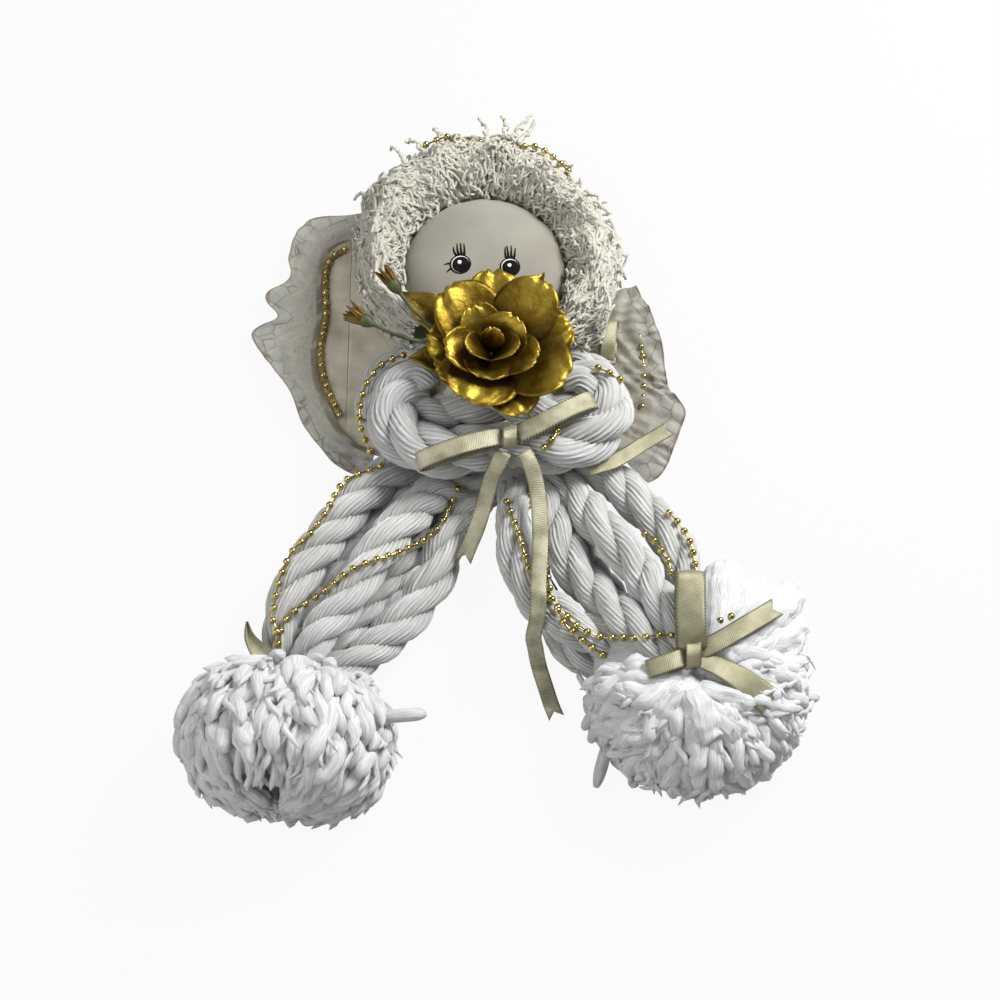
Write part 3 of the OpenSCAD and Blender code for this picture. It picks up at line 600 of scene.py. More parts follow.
ropeShape = {"strands": 3, "offset": 0.46, "strand": 0.56, "yarns": 16, "slip": 1.75, "relief": 0.13, "step": 1.5,
             "lay": 54, "swell": (0.6, 0.74)}
ropes = {
    "left_outer_rope": {"radius": 9.5, "lay": 56, "route": [[-8, 0.5, 7.4], [-28, 1, 10.5], [-46, -4, 12.5],
        [-61, -18, 18], [-76, -38, 21], [-89, -59, 21.5], [-96, -76, 20], [-95.5, -92, 18], [-92.6, -103.5, 17.6]]},
    "left_middle_rope": {"radius": 9.5, "lay": 56, "route": [[-5, -8, 7.4], [-14, -13.2, 10], [-26, -16, 14.4],
        [-36, -24.6, 19.2], [-44, -35.2, 24.8], [-50.5, -44.5, 28], [-61, -61, 29], [-68, -73.5, 28.5],
        [-79, -88, 29], [-86, -103, 24.6]]},
    "left_inner_rope": {"radius": 9.5, "lay": 56, "route": [[0, -11.2, 7.4], [-9, -19.5, 8], [-19, -28, 9],
        [-23.5, -38, 10.5], [-26, -47, 11], [-30, -57, 11], [-37, -68, 11], [-46.5, -80.5, 12], [-60, -93, 14],
        [-71, -100.5, 15.5], [-79.4, -104, 18]]},
    "left_back_rope": {"radius": 7.5, "lay": 48, "route": [[-7, -4, 7.4], [-24, -7.5, 7.4], [-33, -12, 7.9],
        [-43, -19.5, 8.2], [-54, -33, 8], [-64.5, -42, 7.6], [-75.5, -60, 7.6], [-83, -77, 8], [-86, -92, 10],
        [-86, -103, 11.4]]},
    "right_outer_rope": {"radius": 9.5, "lay": 60, "route": [[16, 0.5, 15.8], [30, -1, 14], [46.5, -6.5, 13.5],
        [54.5, -13, 14.5], [66, -26, 17], [74.5, -38, 20], [80, -50, 21.5], [83, -64, 23], [85.5, -80, 27],
        [87, -92.5, 31]]},
    "right_middle_rope": {"radius": 9.5, "lay": 60, "route": [[15, -4.7, 15.8], [24, -9.5, 15.2], [31, -15.5, 17],
        [37, -24.5, 21], [43, -34.5, 26], [50, -43, 28], [56, -50.5, 29], [62, -60, 31], [67, -72, 37],
        [73, -84, 42.5], [82.5, -98.5, 39.6]]},
    "right_inner_rope": {"radius": 9.5, "lay": 60, "route": [[11.9, -8.9, 15.8], [18, -15.5, 16], [22, -22.5, 18],
        [24, -31.5, 20], [28, -44.5, 20], [33.5, -55.5, 19.5], [40.5, -64, 20], [48, -73, 26], [55, -82, 33.5],
        [64, -93, 37.5], [75.5, -103.5, 37]]},
    "right_front_rope": {"radius": 9.5, "lay": 60, "route": [[8, -11.5, 15.8], [9, -19.5, 20], [6.5, -29, 25],
        [6.5, -43, 26], [9.5, -56, 26], [15, -68.5, 26], [24, -77, 26], [34, -83.5, 26], [46, -89, 25.5],
        [61, -94.5, 25], [76, -101.5, 26.5]]},
    "right_back_rope": {"radius": 7.7, "lay": 52, "route": [[3.2, -12, 15.8], [4, -22, 13.2], [10, -37, 9],
        [16, -55, 8.2], [23, -75, 8.2], [33, -90, 8.2], [46, -97, 8.4], [60, -99.4, 9.4], [72, -93, 16.2],
        [81, -95, 25.2]]},
    "left_shoulder_rope": {"radius": 11.9, "lay": 58, "swell": (0.85, 0.95), "route": [[3.7, -1, 33.3],
        [-4, -1.2, 33.6], [-13, -3, 33.8], [-24, -4.4, 33.8], [-39, -0.6, 33.6], [-48, 10, 33.2], [-47, 22, 32.5],
        [-39, 29, 32], [-32, 27, 31.5]]},
    "right_shoulder_rope": {"radius": 11.9, "lay": 58, "swell": (0.85, 0.95), "route": [[4.3, -1, 33.3],
        [12, -1.2, 33.6], [20, -2.6, 33.8], [29, -2.6, 33.8], [42, 3.2, 33.6], [48, 14, 33.2], [46, 25, 32.5],
        [38, 30, 32], [31, 28, 31.5]]},
    "left_collar_rope": {"radius": 8, "swell": (1, 0.7), "route": [[-15, 78, 14.7], [-20, 62, 14.7], [-32, 53, 14],
        [-46, 49, 13.5], [-57, 40, 13], [-61, 28, 13], [-61, 20, 13]]},
    "right_collar_rope": {"radius": 8, "swell": (1, 0.7), "route": [[1, 78, 14.7], [6, 62, 14.7], [22, 52, 14],
        [39, 47, 13.5], [50, 38, 13], [54.5, 26, 13], [54, 18, 13]]},
    "chest_knot": {"radius": 12, "swell": (0.5, 0.5), "route": [[-29, 14.5, 25], [-21, 18.5, 30], [-10, 22, 33],
        [5, 22.5, 33], [17, 18.5, 30.5], [26, 15, 25]]}}
# Yarns that show only in the gaps between the ropes
fillers = {
    "leftUnderRope": {"body": "left_leg", "radius": 7.0, "lay": 40, "route": [[-14, -13, 7], [-29, -20, 7.2],
        [-38, -33, 7], [-46, -49, 7], [-56, -65.5, 7], [-67, -80.5, 8], [-77, -95, 11], [-83, -103, 14]]},
    "rightUnderRope": {"body": "right_leg", "radius": 7.0, "lay": 40, "route": [[24, -13, 9], [32, -27, 8.4],
        [40, -46, 7.6], [49, -61, 7.6], [60, -77, 9], [71, -91, 15]]},
    "leftGapRope": {"body": "left_leg", "radius": 6.5, "lay": 38, "route": [[-14, -19, 7], [-24, -35, 6.8],
        [-36, -54, 6.8], [-49, -75, 8], [-62, -94, 11]]},
    "leftChestYarn": {"body": "torso", "radius": 9.0, "lay": 44, "route": [[-40, 16, 26], [-34, 16, 29],
        [-27, 16, 30], [-19, 16, 30]]},
    "rightChestYarn": {"body": "torso", "radius": 9.0, "lay": 44, "route": [[40, 17, 26], [34, 17, 29], [26, 16, 30],
        [18, 16, 30]]},
    "leftSideRope": {"body": "left_leg", "radius": 6.5, "lay": 38, "route": [[-34, -7, 6.6], [-50, -18, 6.6],
        [-58, -28, 6.6], [-70, -46, 6.6], [-82, -66, 6.6], [-90, -84, 7], [-92, -98, 9]]}}


def swellAlong(t, first, last):
    return (1 - (1 - first) * np.maximum(0, 1 - t / 0.3)
            - (1 - last) * np.maximum(0, 1 - (1 - t) * 2.4) ** 1.6)


def ropePart(settings, seed):
    rng = np.random.default_rng(seed)
    shape = {**ropeShape, **settings}
    path = steppedPath(shape["route"], shape["step"])
    s = lengthAlong(path)
    ahead = unit(np.gradient(path, axis=0))
    lift = unit(upward - (ahead @ upward)[:, None] * ahead)
    side = np.cross(lift, ahead)
    thick = shape["radius"] * swellAlong(s / s[-1], *shape["swell"])
    thick = thick * (1 + waves(rng, 1, s, (47, 21), (0.015, 0.012))[0])
    loose = waves(rng, 1, s, (70, 38), (0.22, 0.1))[0]
    columns = 4 * shape["yarns"]
    around = np.arange(columns) / columns * 2 * np.pi
    lobe = np.tile([0.0, 0.72, 1.0, 0.72], shape["yarns"])
    plump = np.repeat(rng.uniform(0.75, 1.25, (shape["strands"], shape["yarns"])), 4, axis=1)
    wide = 2 * np.pi * shape["strand"] * shape["radius"]
    parts, paintedShades = [], []
    for k in range(shape["strands"]):
        turn = 2 * np.pi * (s / shape["lay"] + k / shape["strands"]) + seed + loose
        spoke = spokes(turn, side, lift)
        centre = path + shape["offset"] * thick[:, None] * spoke
        along = unit(np.gradient(centre, axis=0))
        out = unit(spoke - (spoke * along).sum(-1, keepdims=True) * along)
        cross = np.cross(along, out)
        angle = around[None] - shape["slip"] * turn[:, None]
        fibre = 0.03 * waves(rng, columns, s, (17.0, 5.0), (1.0, 0.8)).T
        rim = shape["strand"] * thick[:, None] * (1 - shape["relief"] + shape["relief"] * lobe * plump[k] + fibre)
        points = centre[:, None] + rim[..., None] * spokes(angle, out[:, None], cross[:, None])
        # Painted shade between yarns, and deeper painted shade where the strand turns in to its neighbours, plus a
        # random darkening for each yarn
        far = np.linalg.norm(points - path[:, None], axis=2) / thick[:, None]
        shade = np.repeat(rng.uniform(0, 0.14, shape["yarns"]), 4)
        paintedShade = (0.3 * (1 - lobe) + shade)[None] + 0.75 * np.clip((0.86 - far) / 0.34, 0, 1) ** 1.3
        paintedShades.append(np.concatenate([paintedShade.ravel(), [0.3, 0.3]]))
        ends = np.stack([centre[0] - along[0] * 0.5, centre[-1] + along[-1] * 0.5])
        flat = gridMap(s + 57.0 * k, np.linspace(0, wide, columns + 1))
        parts.append((np.concatenate([points.reshape(-1, 3), ends]),
                      [gridFaces(len(s), columns, True), poleFans(len(s), columns)],
                      [flat, np.zeros((6 * columns, 2))]))
    return joinParts(parts), {"paintedShade": np.concatenate(paintedShades)}


for seed, (node, settings) in enumerate(ropes.items()):
    part, masks = ropePart(settings, seed)
    standFor(node, part, ropeYarn, masks)
for seed, (name, settings) in enumerate(fillers.items(), len(ropes)):
    part, masks = ropePart(settings, seed)
    placePiece(name, part, ropeYarn, settings["body"], masks)
print("ropes laid:", len(ropes) + len(fillers))


# Pom-poms: locks that flow from the tie over a dome, with a core under them

def tableAt(table, share):
    # Values of a table's columns at a share from 0 to 1 of its rows
    place = np.clip(share, 0, 1) * (len(table) - 1)
    return [np.interp(place, np.arange(len(table)), column) for column in np.array(table, float).T]


def domePoint(settings, a, w):
    # Place at share a of the profile and angle w (radians) round the axis, with the outward direction
    r, h = tableAt(settings["curve"], a)
    dr, dh = tableAt(np.gradient(settings["curve"], axis=0), a)
    axis, across, rise = settings["axes"]
    spoke = spokes(w, across, rise)
    point = settings["origin"] + h[..., None] * axis + r[..., None] * spoke
    return point, unit(settings["outward"] * (dr[..., None] * axis - dh[..., None] * spoke))


def hollowness(settings, points):
    # Distance from the hollow's middle, as a share of its size; without a hollow it is far off
    *at, size = settings.get("hollow", (0, 0, 1e6, 1.0))
    return np.linalg.norm(points - np.array(at), axis=-1) / size


def lockPaths(settings, rng, rings, start, stop, deep):
    # Soft locks side by side: each runs over the dome from share start to an end of its own between the stop shares
    count = settings["locks"]
    lo, hi = settings["turns"]
    turn = lo + (hi - lo) * (np.arange(count) + rng.uniform(-0.3, 0.3, count)) / count
    t = np.linspace(0, 1, rings)[None]
    end = rng.uniform(*stop, (count, 1))
    first = end - tuftReach if start is None else start
    swing = settings["swing"] * waves(rng, count, t[0], (1.4, 0.8), (0.7, 0.3)) * t
    point, out = domePoint(settings, first + (end - first) * t, np.radians(turn)[:, None] + swing)
    lift = rng.uniform(*settings["lift"], (count, 1))
    depth = deep + 3 * (1 - t) ** 2 - lift * t ** 2 + waves(rng, count, t[0], (0.9, 0.5), (0.8, 0.4)) * t
    paths = point - depth[..., None] * out
    lumps = 1 + waves(rng, count, t[0], (0.42, 0.21), (0.1, 0.06))
    tip = np.sqrt(1 - 0.985 * t ** rng.uniform(4, 10, (count, 1)))
    radii = rng.uniform(*settings["thick"], (count, 1)) * lumps * (0.5 + 0.5 * np.sin(np.pi * (0.08 + 0.6 * t))) * tip
    paths[..., 2] = np.maximum(paths[..., 2], radii * 0.9)
    keep = (hollowness(settings, paths) > 1).all(axis=1)
    return paths[keep], radii[keep]


def roughen(points, rng, size, length):
    # Adds short smooth waves in random directions
    for k in range(10):
        ray, push = unit(rng.normal(0, 1, (2, 3)))
        turn = 2 * np.pi * (points @ ray) / (length * rng.uniform(0.7, 1.4)) + rng.uniform(0, 6.28)
        points = points + size * np.sin(turn)[:, None] * push
    return points


def sideShade(points, paths, sides, middle):
    # Painted shade, high on the sides of a lock that face its neighbours or the core
    rings = points.reshape(len(paths), -1, 3)[:, :-2].reshape(*paths.shape[:2], sides, 3)
    facing = (unit(rings - paths[:, :, None]) * unit(paths - middle)[:, :, None]).sum(-1)
    shade = np.clip(0.35 - 0.75 * facing, 0, 1).reshape(len(paths), -1)
    return np.concatenate([shade, np.zeros((len(paths), 2))], axis=1).ravel()


def lobeSet(lobes):
    # Fat rounded loops of yarn: routes with one radius each
    path = np.stack([smoothPath(route, 22) for route, radius in lobes])
    t = np.linspace(0, 1, 22)
    shape = (0.6 + 0.4 * np.minimum(1, t / 0.5)) * np.sqrt(1 - 0.97 * np.clip((t - 0.74) / 0.26, 0, 1) ** 2)
    return tubeSet(path, np.array([[radius] for route, radius in lobes]) * shape, 42, 0.07, 14)


def corePart(settings, rows=26, columns=60):
    a = np.linspace(0.02, 1, rows)[:, None] + np.zeros((1, columns))
    w = np.linspace(0, 2 * np.pi, columns, endpoint=False)[None] + np.zeros((rows, 1))
    point, out = domePoint(settings, a, w)
    inset = 1.5 + 1.2 * np.sin(9 * w + 5 * a) * np.sin(11 * a) + 9 * np.exp(-hollowness(settings, point) ** 2)
    point = point - inset[..., None] * out
    point[..., 2] = np.maximum(point[..., 2], 0.3)
    ends = np.stack([point[0].mean(axis=0), point[-1].mean(axis=0)])
    flat = gridMap(np.linspace(0, 100, rows), np.linspace(0, 260, columns + 1))
    return (np.concatenate([point.reshape(-1, 3), ends]),
            [gridFaces(rows, columns, True)[:, ::-1], poleFans(rows, columns)[:, ::-1]],
            [flat, np.zeros((6 * columns, 2))])


# Each layer of locks: share where it starts, shares between which it ends, depth; tufts lie all over the locks
tuftReach = 0.17
tuftShape = {"locks": 220, "thick": (1.1, 1.9), "lift": (2.0, 6.0)}
tuftLayer = (None, (0.25, 1.0), -0.6)
lockShape = {"sides": 12, "flute": 0.06, "lobes": 4}
strayShape = {"sides": 14, "flute": 0.2, "lobes": 7}
pompoms = {
    "left_pompom": {
        "origin": np.array([-88.0, -105.0, 18.0]), "middle": np.array([-91.0, -131.0, 22.0]),
        "axes": axesAlong([-0.1, -0.98, 0.15]), "outward": -1, "seed": 11,
        "curve": smoothPath([[11.4, 0], [26.4, 3.4], [37.4, 11.2], [42.6, 25.2], [40.6, 39.2], [33, 48.8],
                             [19.8, 53.9], [0.5, 55]], 60),
        "turns": (-180, 180), "swing": 0.14, "lift": (0.0, 6.0), "locks": 70, "thick": (2.0, 4.6),
        "layers": [(0.76, (0.9, 1.0), 2.0), (0.6, (0.78, 0.98), 2.0), (0.45, (0.62, 0.84), 1.5),
                   (0.3, (0.46, 0.68), 1.0), (0.16, (0.32, 0.54), 0.5), (0.03, (0.18, 0.4), 0.0)],
        "hollow": (-98.6, -156.2, 37.4, 9.0),
        "strays": [
            [[-53.9, -127.3, 36], [-46.1, -126.1, 40], [-38.5, -125.5, 41], [-31.1, -124.8, 40]],
            [[-68.0, -144.9, 22], [-65.3, -152.3, 16], [-63.0, -160.7, 10]],
            [[-79.6, -153.5, 22], [-77.6, -158.6, 15], [-76.6, -163.7, 10]],
            [[-115.9, -145.7, 26], [-119.9, -150.5, 20], [-123.6, -154.5, 14]],
            [[-105.4, -148.3, 28], [-108.5, -153.5, 22], [-111.2, -157.9, 16]],
            [[-121.4, -130.7, 26], [-129.5, -132.4, 20], [-136.8, -133.7, 14]],
            [[-123.2, -115.9, 28], [-130.1, -117.6, 24], [-136.9, -123.7, 20]]],
        "lobes": [
            ([[-89.0, -113.5, 36], [-96.3, -110.2, 40], [-103.3, -103.4, 34]], 5.4),
            ([[-91.2, -117.4, 34], [-102.6, -113.5, 36], [-112.4, -108.9, 28]], 5.2),
            ([[-87.7, -115.4, 40], [-89.1, -111.2, 44], [-85.8, -110.2, 40]], 6.2),
            ([[-84.2, -123.5, 38], [-97.6, -118.8, 40], [-100.9, -112.7, 36]], 5.4),
            ([[-71.9, -117.9, 36], [-62.7, -113.5, 36], [-57.4, -107.7, 30]], 6.0),
            ([[-65.6, -122.6, 34], [-57.9, -116.9, 32], [-55.1, -110.6, 24]], 5.2),
            ([[-86.9, -127.9, 42], [-88.7, -141.0, 44], [-91.7, -149.8, 36]], 7.5)]},
    "right_pompom": {
        "origin": np.array([85.4, -106.0, 0.0]), "middle": np.array([85.4, -106.0, 8.0]),
        "axes": np.eye(3)[[2, 0, 1]], "outward": 1, "seed": 12,
        "curve": smoothPath([[1, 44], [23.5, 42.2], [36.7, 36], [43.6, 27], [46, 17.4], [45, 8.1], [39.4, 0.5]], 60),
        "turns": (-180, 74), "swing": 0.15, "lift": (0.0, 5.5), "locks": 62, "thick": (2.1, 4.8),
        "layers": [(0.66, (0.86, 1.0), 2.0), (0.5, (0.72, 0.94), 1.5), (0.34, (0.55, 0.8), 1.0),
                   (0.2, (0.4, 0.62), 0.5), (0.06, (0.25, 0.45), 0.0)],
        "strays": [
            [[56.0, -110.6, 24], [45.4, -114.9, 20], [36.0, -125.4, 14]],
            [[55.1, -117.1, 22], [45.8, -120.6, 18], [39.0, -130.7, 12]],
            [[57.8, -119.3, 20], [48.5, -128.0, 14], [41.6, -148.9, 5]],
            [[93.7, -142.8, 22], [104.0, -143.3, 14], [111.2, -144.3, 8]],
            [[60.3, -139.0, 14], [58.9, -144.3, 8], [57.2, -148.9, 5]],
            [[116.3, -110.6, 24], [130.2, -111.3, 18], [139.0, -111.2, 12]]],
        "lobes": [
            ([[91.3, -98.2, 44], [94.7, -74.4, 38], [100.4, -55.1, 26]], 9.6),
            ([[93.8, -99.1, 44], [105.2, -78.8, 38], [115.0, -63.4, 26]], 9.4),
            ([[97.1, -100.4, 44], [116.1, -81.8, 36], [129.1, -64.9, 22]], 9.0),
            ([[96.2, -102.6, 44], [118.1, -91.1, 34], [130.8, -79.0, 20]], 8.6),
            ([[95.0, -105.5, 42], [115.3, -103.4, 34], [129.6, -99.8, 20]], 8.2),
            ([[83.9, -115.5, 44], [98.6, -119.3, 42], [115.9, -119.0, 30]], 8.0),
            ([[79.5, -116.0, 46], [83.5, -126.2, 44], [86.4, -135.9, 36]], 8.6),
            ([[76.9, -116.0, 46], [68.0, -124.0, 40], [62.8, -132.4, 28]], 7.4),
            ([[79.5, -116.6, 45], [95.5, -129.5, 40], [104.1, -136.3, 26]], 7.6)]}}


def pompomPiece(node, settings):
    rng = np.random.default_rng(settings["seed"])
    core = corePart(settings)
    # Painted shade on the core under the locks, darkest in the hollow
    coreShade = np.maximum(0.25, np.clip(2.2 - hollowness(settings, core[0]), 0, 1))
    layers = [lockPaths(settings, rng, 12, *layer) for layer in settings["layers"]]
    locks, radii = (np.concatenate(each) for each in zip(*layers))
    tufts, tuftRadii = lockPaths({**settings, **tuftShape}, rng, 7, *tuftLayer)
    t = np.linspace(0, 1, 18)
    stray = np.stack([smoothPath(p, 18) for p in settings["strays"]])
    strayRadii = 2.9 * np.sqrt(1 - 0.8 * np.clip((t - 0.75) / 0.25, 0, 1) ** 2)
    lockPart, tuftPart = tubeSet(locks, radii, **lockShape), tubeSet(tufts, tuftRadii, 6)
    lobePart, strayPart = lobeSet(settings["lobes"]), tubeSet(stray, strayRadii, **strayShape)
    # Painted shade at the roots of the strays; the locks and tufts get painted shade on their inner sides, the lobes
    # none
    strayShade = np.append(np.repeat(0.3 * (1 - t), strayShape["sides"]), [0.3, 0.0])
    shades = [coreShade, 0.26 * sideShade(lockPart[0], locks, lockShape["sides"], settings["middle"]),
              0.15 * sideShade(tuftPart[0], tufts, 6, settings["middle"]), np.zeros(len(lobePart[0])),
              np.tile(strayShade, len(stray))]
    roughLocks = (roughen(lockPart[0], rng, size=0.15, length=5.0), *lockPart[1:])
    roughLobes = (roughen(lobePart[0], rng, size=0.3, length=7.0), *lobePart[1:])
    points, faces, flat = joinParts([core, roughLocks, tuftPart, roughLobes, strayPart])
    points[:, 2] = np.maximum(points[:, 2], 0.2)
    standFor(node, (points, faces, flat), pompomYarn, {"paintedShade": np.concatenate(shades)})


for node, settings in pompoms.items():
    pompomPiece(node, settings)
print("pom-poms fluffed")

# The face, which the head fills and the wig runs round
face = {"centre": np.array([-7.0, 88.0]), "radius": 38.6, "base": 25.5, "rise": 15.8, "power": 0.6}

# Wig: crinkled yarns that part at the top and run round the face, over a core, with loose wisps
wig = {
    "centre": np.array([-6.0, 99.0]), "ends": (-50, 230), "seed": 21,
    "angles": [-52, -38, -16, 7, 26, 50, 74, 85, 108, 122, 145, 155, 172, 204, 218, 232],
    "radii": [60, 64, 63, 60, 55, 53, 57, 61, 59, 60.5, 61.5, 64, 60.5, 60, 61, 58],
    "section": [[0.0, 18], [0.0, 27], [0.08, 31.8], [0.22, 37.8], [0.42, 43.5], [0.65, 44.5], [0.88, 37], [1.0, 27],
        [0.98, 15], [0.9, 6.5]],
    "crown": {"count": 230, "rings": 36, "length": 46, "from": (0.14, 0.36), "to": (0.55, 0.94), "thick": (0.5, 1.0)},
    "sides": {"count": 90, "rings": 50, "length": 80, "share": (0.15, 0.97), "thick": (0.5, 1.0)},
    "curls": {"count": 230, "rings": 14, "share": (0.1, 0.94), "loop": (1.2, 4.6), "thick": 0.65},
    "loops": {"count": 170, "rings": 12, "share": (0.15, 0.36), "reach": (0.5, 3), "thick": 0.7},
    "wisps": [
        [[-44, 141, 38], [-48, 147, 38], [-52, 149, 37]], [[-28, 150, 38], [-29, 157, 38], [-32, 161, 36]],
        [[-6, 150, 40], [-7, 159, 39], [-10, 165, 37]], [[6, 153, 40], [11, 161, 39], [15, 167, 38]],
        [[9, 150, 42], [14, 156, 41], [17, 164, 39]], [[2, 152, 42], [3, 160, 40], [1, 166, 38]],
        [[38, 120, 40], [45, 118, 40], [51, 114, 38]], [[26, 138, 40], [31, 140, 39], [34, 137, 38]],
        [[-58, 125, 32], [-65, 129, 30], [-69, 128, 27]], [[-60, 100, 30], [-67, 103, 28], [-69, 98, 25]],
        [[36, 124, 40], [43, 124, 39], [49, 119, 37]], [[-36, 146, 38], [-40, 153, 37], [-45, 154, 35]]]}


def wigPoint(angle, a, section=None):
    # Place on the wig at an angle round its centre and a share a of its section, from the face outwards
    ray = np.stack([np.cos(angle), np.sin(angle)], -1)
    gap = face["centre"] - wig["centre"]
    near = ray @ gap + np.sqrt((ray @ gap) ** 2 - gap @ gap + face["radius"] ** 2)
    far = np.interp(np.degrees(angle), wig["angles"], wig["radii"])
    far = far + 0.9 * np.sin(7.3 * angle + 1) + 0.8 * np.sin(12.1 * angle + 2) + 0.8 * np.sin(19.7 * angle)
    section = section or wig["section"]
    c, z = tableAt(section, a)
    z = z + 1.5 * np.sin(11 * angle + 7 * c) * np.clip(np.clip(a, 0, 1) * (len(section) - 1) - 1, 0, 1)
    return np.concatenate([wig["centre"] + (near + (far - near) * c)[..., None] * ray, z[..., None]], -1)


def wigMiddle(angle, a):
    return wigPoint(angle, a, [[0.5, 24]] * 2)


def crinkle(rng, angles, share, s, thick):
    # Waves a yarn about its place on the wig, with slubs along it
    count = len(angles)
    angles = angles + waves(rng, count, s, (15, 5.5), (0.028, 0.02))
    share = share + waves(rng, count, s, (14, 5), (0.02, 0.015))
    path = wigPoint(angles, share)
    inward = unit(wigMiddle(angles, share) - path)
    depth = rng.uniform(-0.5, 1.0, (count, 1)) + waves(rng, count, s, (11, 4.6), (0.5, 0.4))
    slubs = 1 + waves(rng, count, s, (3.4, 2.3), (0.16, 0.12))
    return tubeSet(path + depth[..., None] * inward, rng.uniform(*thick, (count, 1)) * slubs, 4)


def stir(rng, path, s, lengths, sizes):
    # Adds waves along all three axes
    count, rings = path.shape[:2]
    return path + waves(rng, count * 3, s, lengths, sizes).reshape(-1, 3, rings).transpose(0, 2, 1)


def wigPart():
    rng = np.random.default_rng(wig["seed"])
    low, high = np.radians(wig["ends"])
    rows, columns = 90, 22
    angle = np.linspace(low, high, rows)[:, None] + np.zeros((1, columns))
    a = np.linspace(0, 1, columns)[None] + np.zeros((rows, 1))
    outer, middle = wigPoint(angle, a), wigMiddle(angle, a)
    # The core lies a little under the yarns and closes at both ends
    shut = np.clip(np.abs(np.linspace(-1, 1, rows)) * 33 - 32, 0, 1)[:, None]
    core = outer + (middle - outer) * np.maximum(0.05 * np.clip(a / 0.2, 0, 1), 0.96 * shut)[..., None]
    parts = [(core.reshape(-1, 3), [gridFaces(rows, columns)[:, ::-1]],
              [gridMap(np.linspace(0, 200, rows), np.linspace(0, 90, columns))])]
    # Crown: short yarns from the face's edge outwards, leaning to the nearer side
    crown = wig["crown"]
    count = crown["count"]
    t = np.linspace(0, 1, crown["rings"])[None]
    start = np.radians((np.arange(count) + rng.uniform(0, 1, count)) / count * 176 + 2)[:, None]
    lean = np.radians(rng.uniform(2, 26, (count, 1))) * np.sign(start - np.pi / 2)
    share = rng.uniform(*crown["from"], (count, 1)) * (1 - t) + rng.uniform(*crown["to"], (count, 1)) * t
    parts.append(crinkle(rng, start + lean * t ** 1.3, share, t[0] * crown["length"], crown["thick"]))
    # Sides: long yarns that fall round the face to the ends
    sides = wig["sides"]
    count = sides["count"]
    t = np.linspace(0, 1, sides["rings"])[None]
    lowest, highest = sides["share"]
    for toward, first in ((high, 118), (low, 62)):
        start = np.radians(first + rng.uniform(-28, 52, (count, 1)) * np.sign(first - 90))
        stop = toward + np.radians(rng.uniform(-5, 5, (count, 1)))
        share = lowest + (highest - lowest) * (np.arange(count) + rng.uniform(0.2, 0.8, count))[:, None] / count
        parts.append(crinkle(rng, start + (stop - start) * t, share + 0 * t, t[0] * sides["length"], sides["thick"]))
    # Curls that stand off the surface
    curls = wig["curls"]
    count = curls["count"]
    t = np.linspace(0, 1, curls["rings"])[None]
    base = rng.uniform(low, high, (count, 1))
    share = rng.uniform(*curls["share"], (count, 1))
    loop = rng.uniform(*curls["loop"], (count, 1))
    lean = rng.uniform(-1, 1, (count, 1))
    path = wigPoint(base + 0.13 * lean * t + 0.02 * np.sin(9 * t + base * 40), share + 0.07 * lean[::-1] * t)
    outward = unit(path - wigMiddle(base + 0 * t, share + 0 * t))
    parts.append(tubeSet(path + (loop * np.sin(np.pi * t))[..., None] * outward, curls["thick"], 4))
    # Loops over the edge of the face
    loops = wig["loops"]
    count = loops["count"]
    t = np.linspace(0, 1, loops["rings"])[None]
    base = rng.uniform(low, high, (count, 1))
    share = rng.uniform(*loops["share"], (count, 1)) + 0.09 * np.abs(2 * t - 1)
    path = wigPoint(base + rng.uniform(-0.3, 0.3, (count, 1)) * t, share)
    inward = np.append(face["centre"], 52) - path
    path = path + (rng.uniform(*loops["reach"], (count, 1)) / 38 * np.sin(np.pi * t))[..., None] * inward
    parts.append(tubeSet(stir(rng, path, t[0] * 11, (6, 3.4), (0.5, 0.35)), loops["thick"], 4))
    wisp = np.stack([smoothPath(p, 16) for p in wig["wisps"]])
    wisp = stir(rng, wisp, np.linspace(0, 14, 16), (5, 3), (0.7, 0.4))
    parts.append(tubeSet(wisp, 1.3 * np.linspace(1, 0.5, 16), 6))
    joined = joinParts(parts)
    # Painted shade: the core under the yarns is darkened a little
    paintedShade = np.zeros(len(joined[0]))
    paintedShade[:rows * columns] = 0.12
    return joined, {"paintedShade": paintedShade}


wigMade, wigMasks = wigPart()
standFor("hair_wig", wigMade, wigYarn, wigMasks)
print("wig laid")


# Head: a padded muslin dome with inked eyes

def faceHeight(x, y):
    # Height over the base: rise x sine of the angle whose cosine to the power is the share of the radius
    r = np.hypot(x - face["centre"][0], y - face["centre"][1]) / face["radius"]
    lean = np.arccos(np.clip(r, 0, 1) ** (1 / face["power"]))
    return face["base"] + face["rise"] * np.sin(lean)


def facePart():
    rows, columns = 40, 96
    w = np.linspace(0, 2 * np.pi, columns, endpoint=False)
    r = face["radius"] * np.sin(np.linspace(0.02, 1, rows) * np.pi / 2)
    x = face["centre"][0] + r[:, None] * np.cos(w)
    y = face["centre"][1] + r[:, None] * np.sin(w)
    z = faceHeight(x, y)
    pucker = 0.35 * np.clip((r[:, None] / face["radius"] - 0.8) * 5, 0, 1) * np.sin(23 * w + 2 * np.sin(5 * w))
    top = np.stack([x, y, z + pucker * (z > face["base"] + 0.5)], -1)
    under = np.stack([x, y, np.full_like(x, face["base"])], -1)[-2::-4]
    points = np.concatenate([top, under])
    rows = len(points)
    poles = np.array([[*face["centre"], face["base"] + face["rise"]], [*face["centre"], face["base"]]])
    faces, fans = gridFaces(rows, columns, True)[:, ::-1], turned(poleFans(rows, columns))
    points = np.concatenate([points.reshape(-1, 3), poles])
    return points, [faces, fans], [points[faces.ravel(), :2], points[fans.ravel(), :2]]


headPiece = standFor("face_cover", facePart(), muslin, also=("head_padding",))

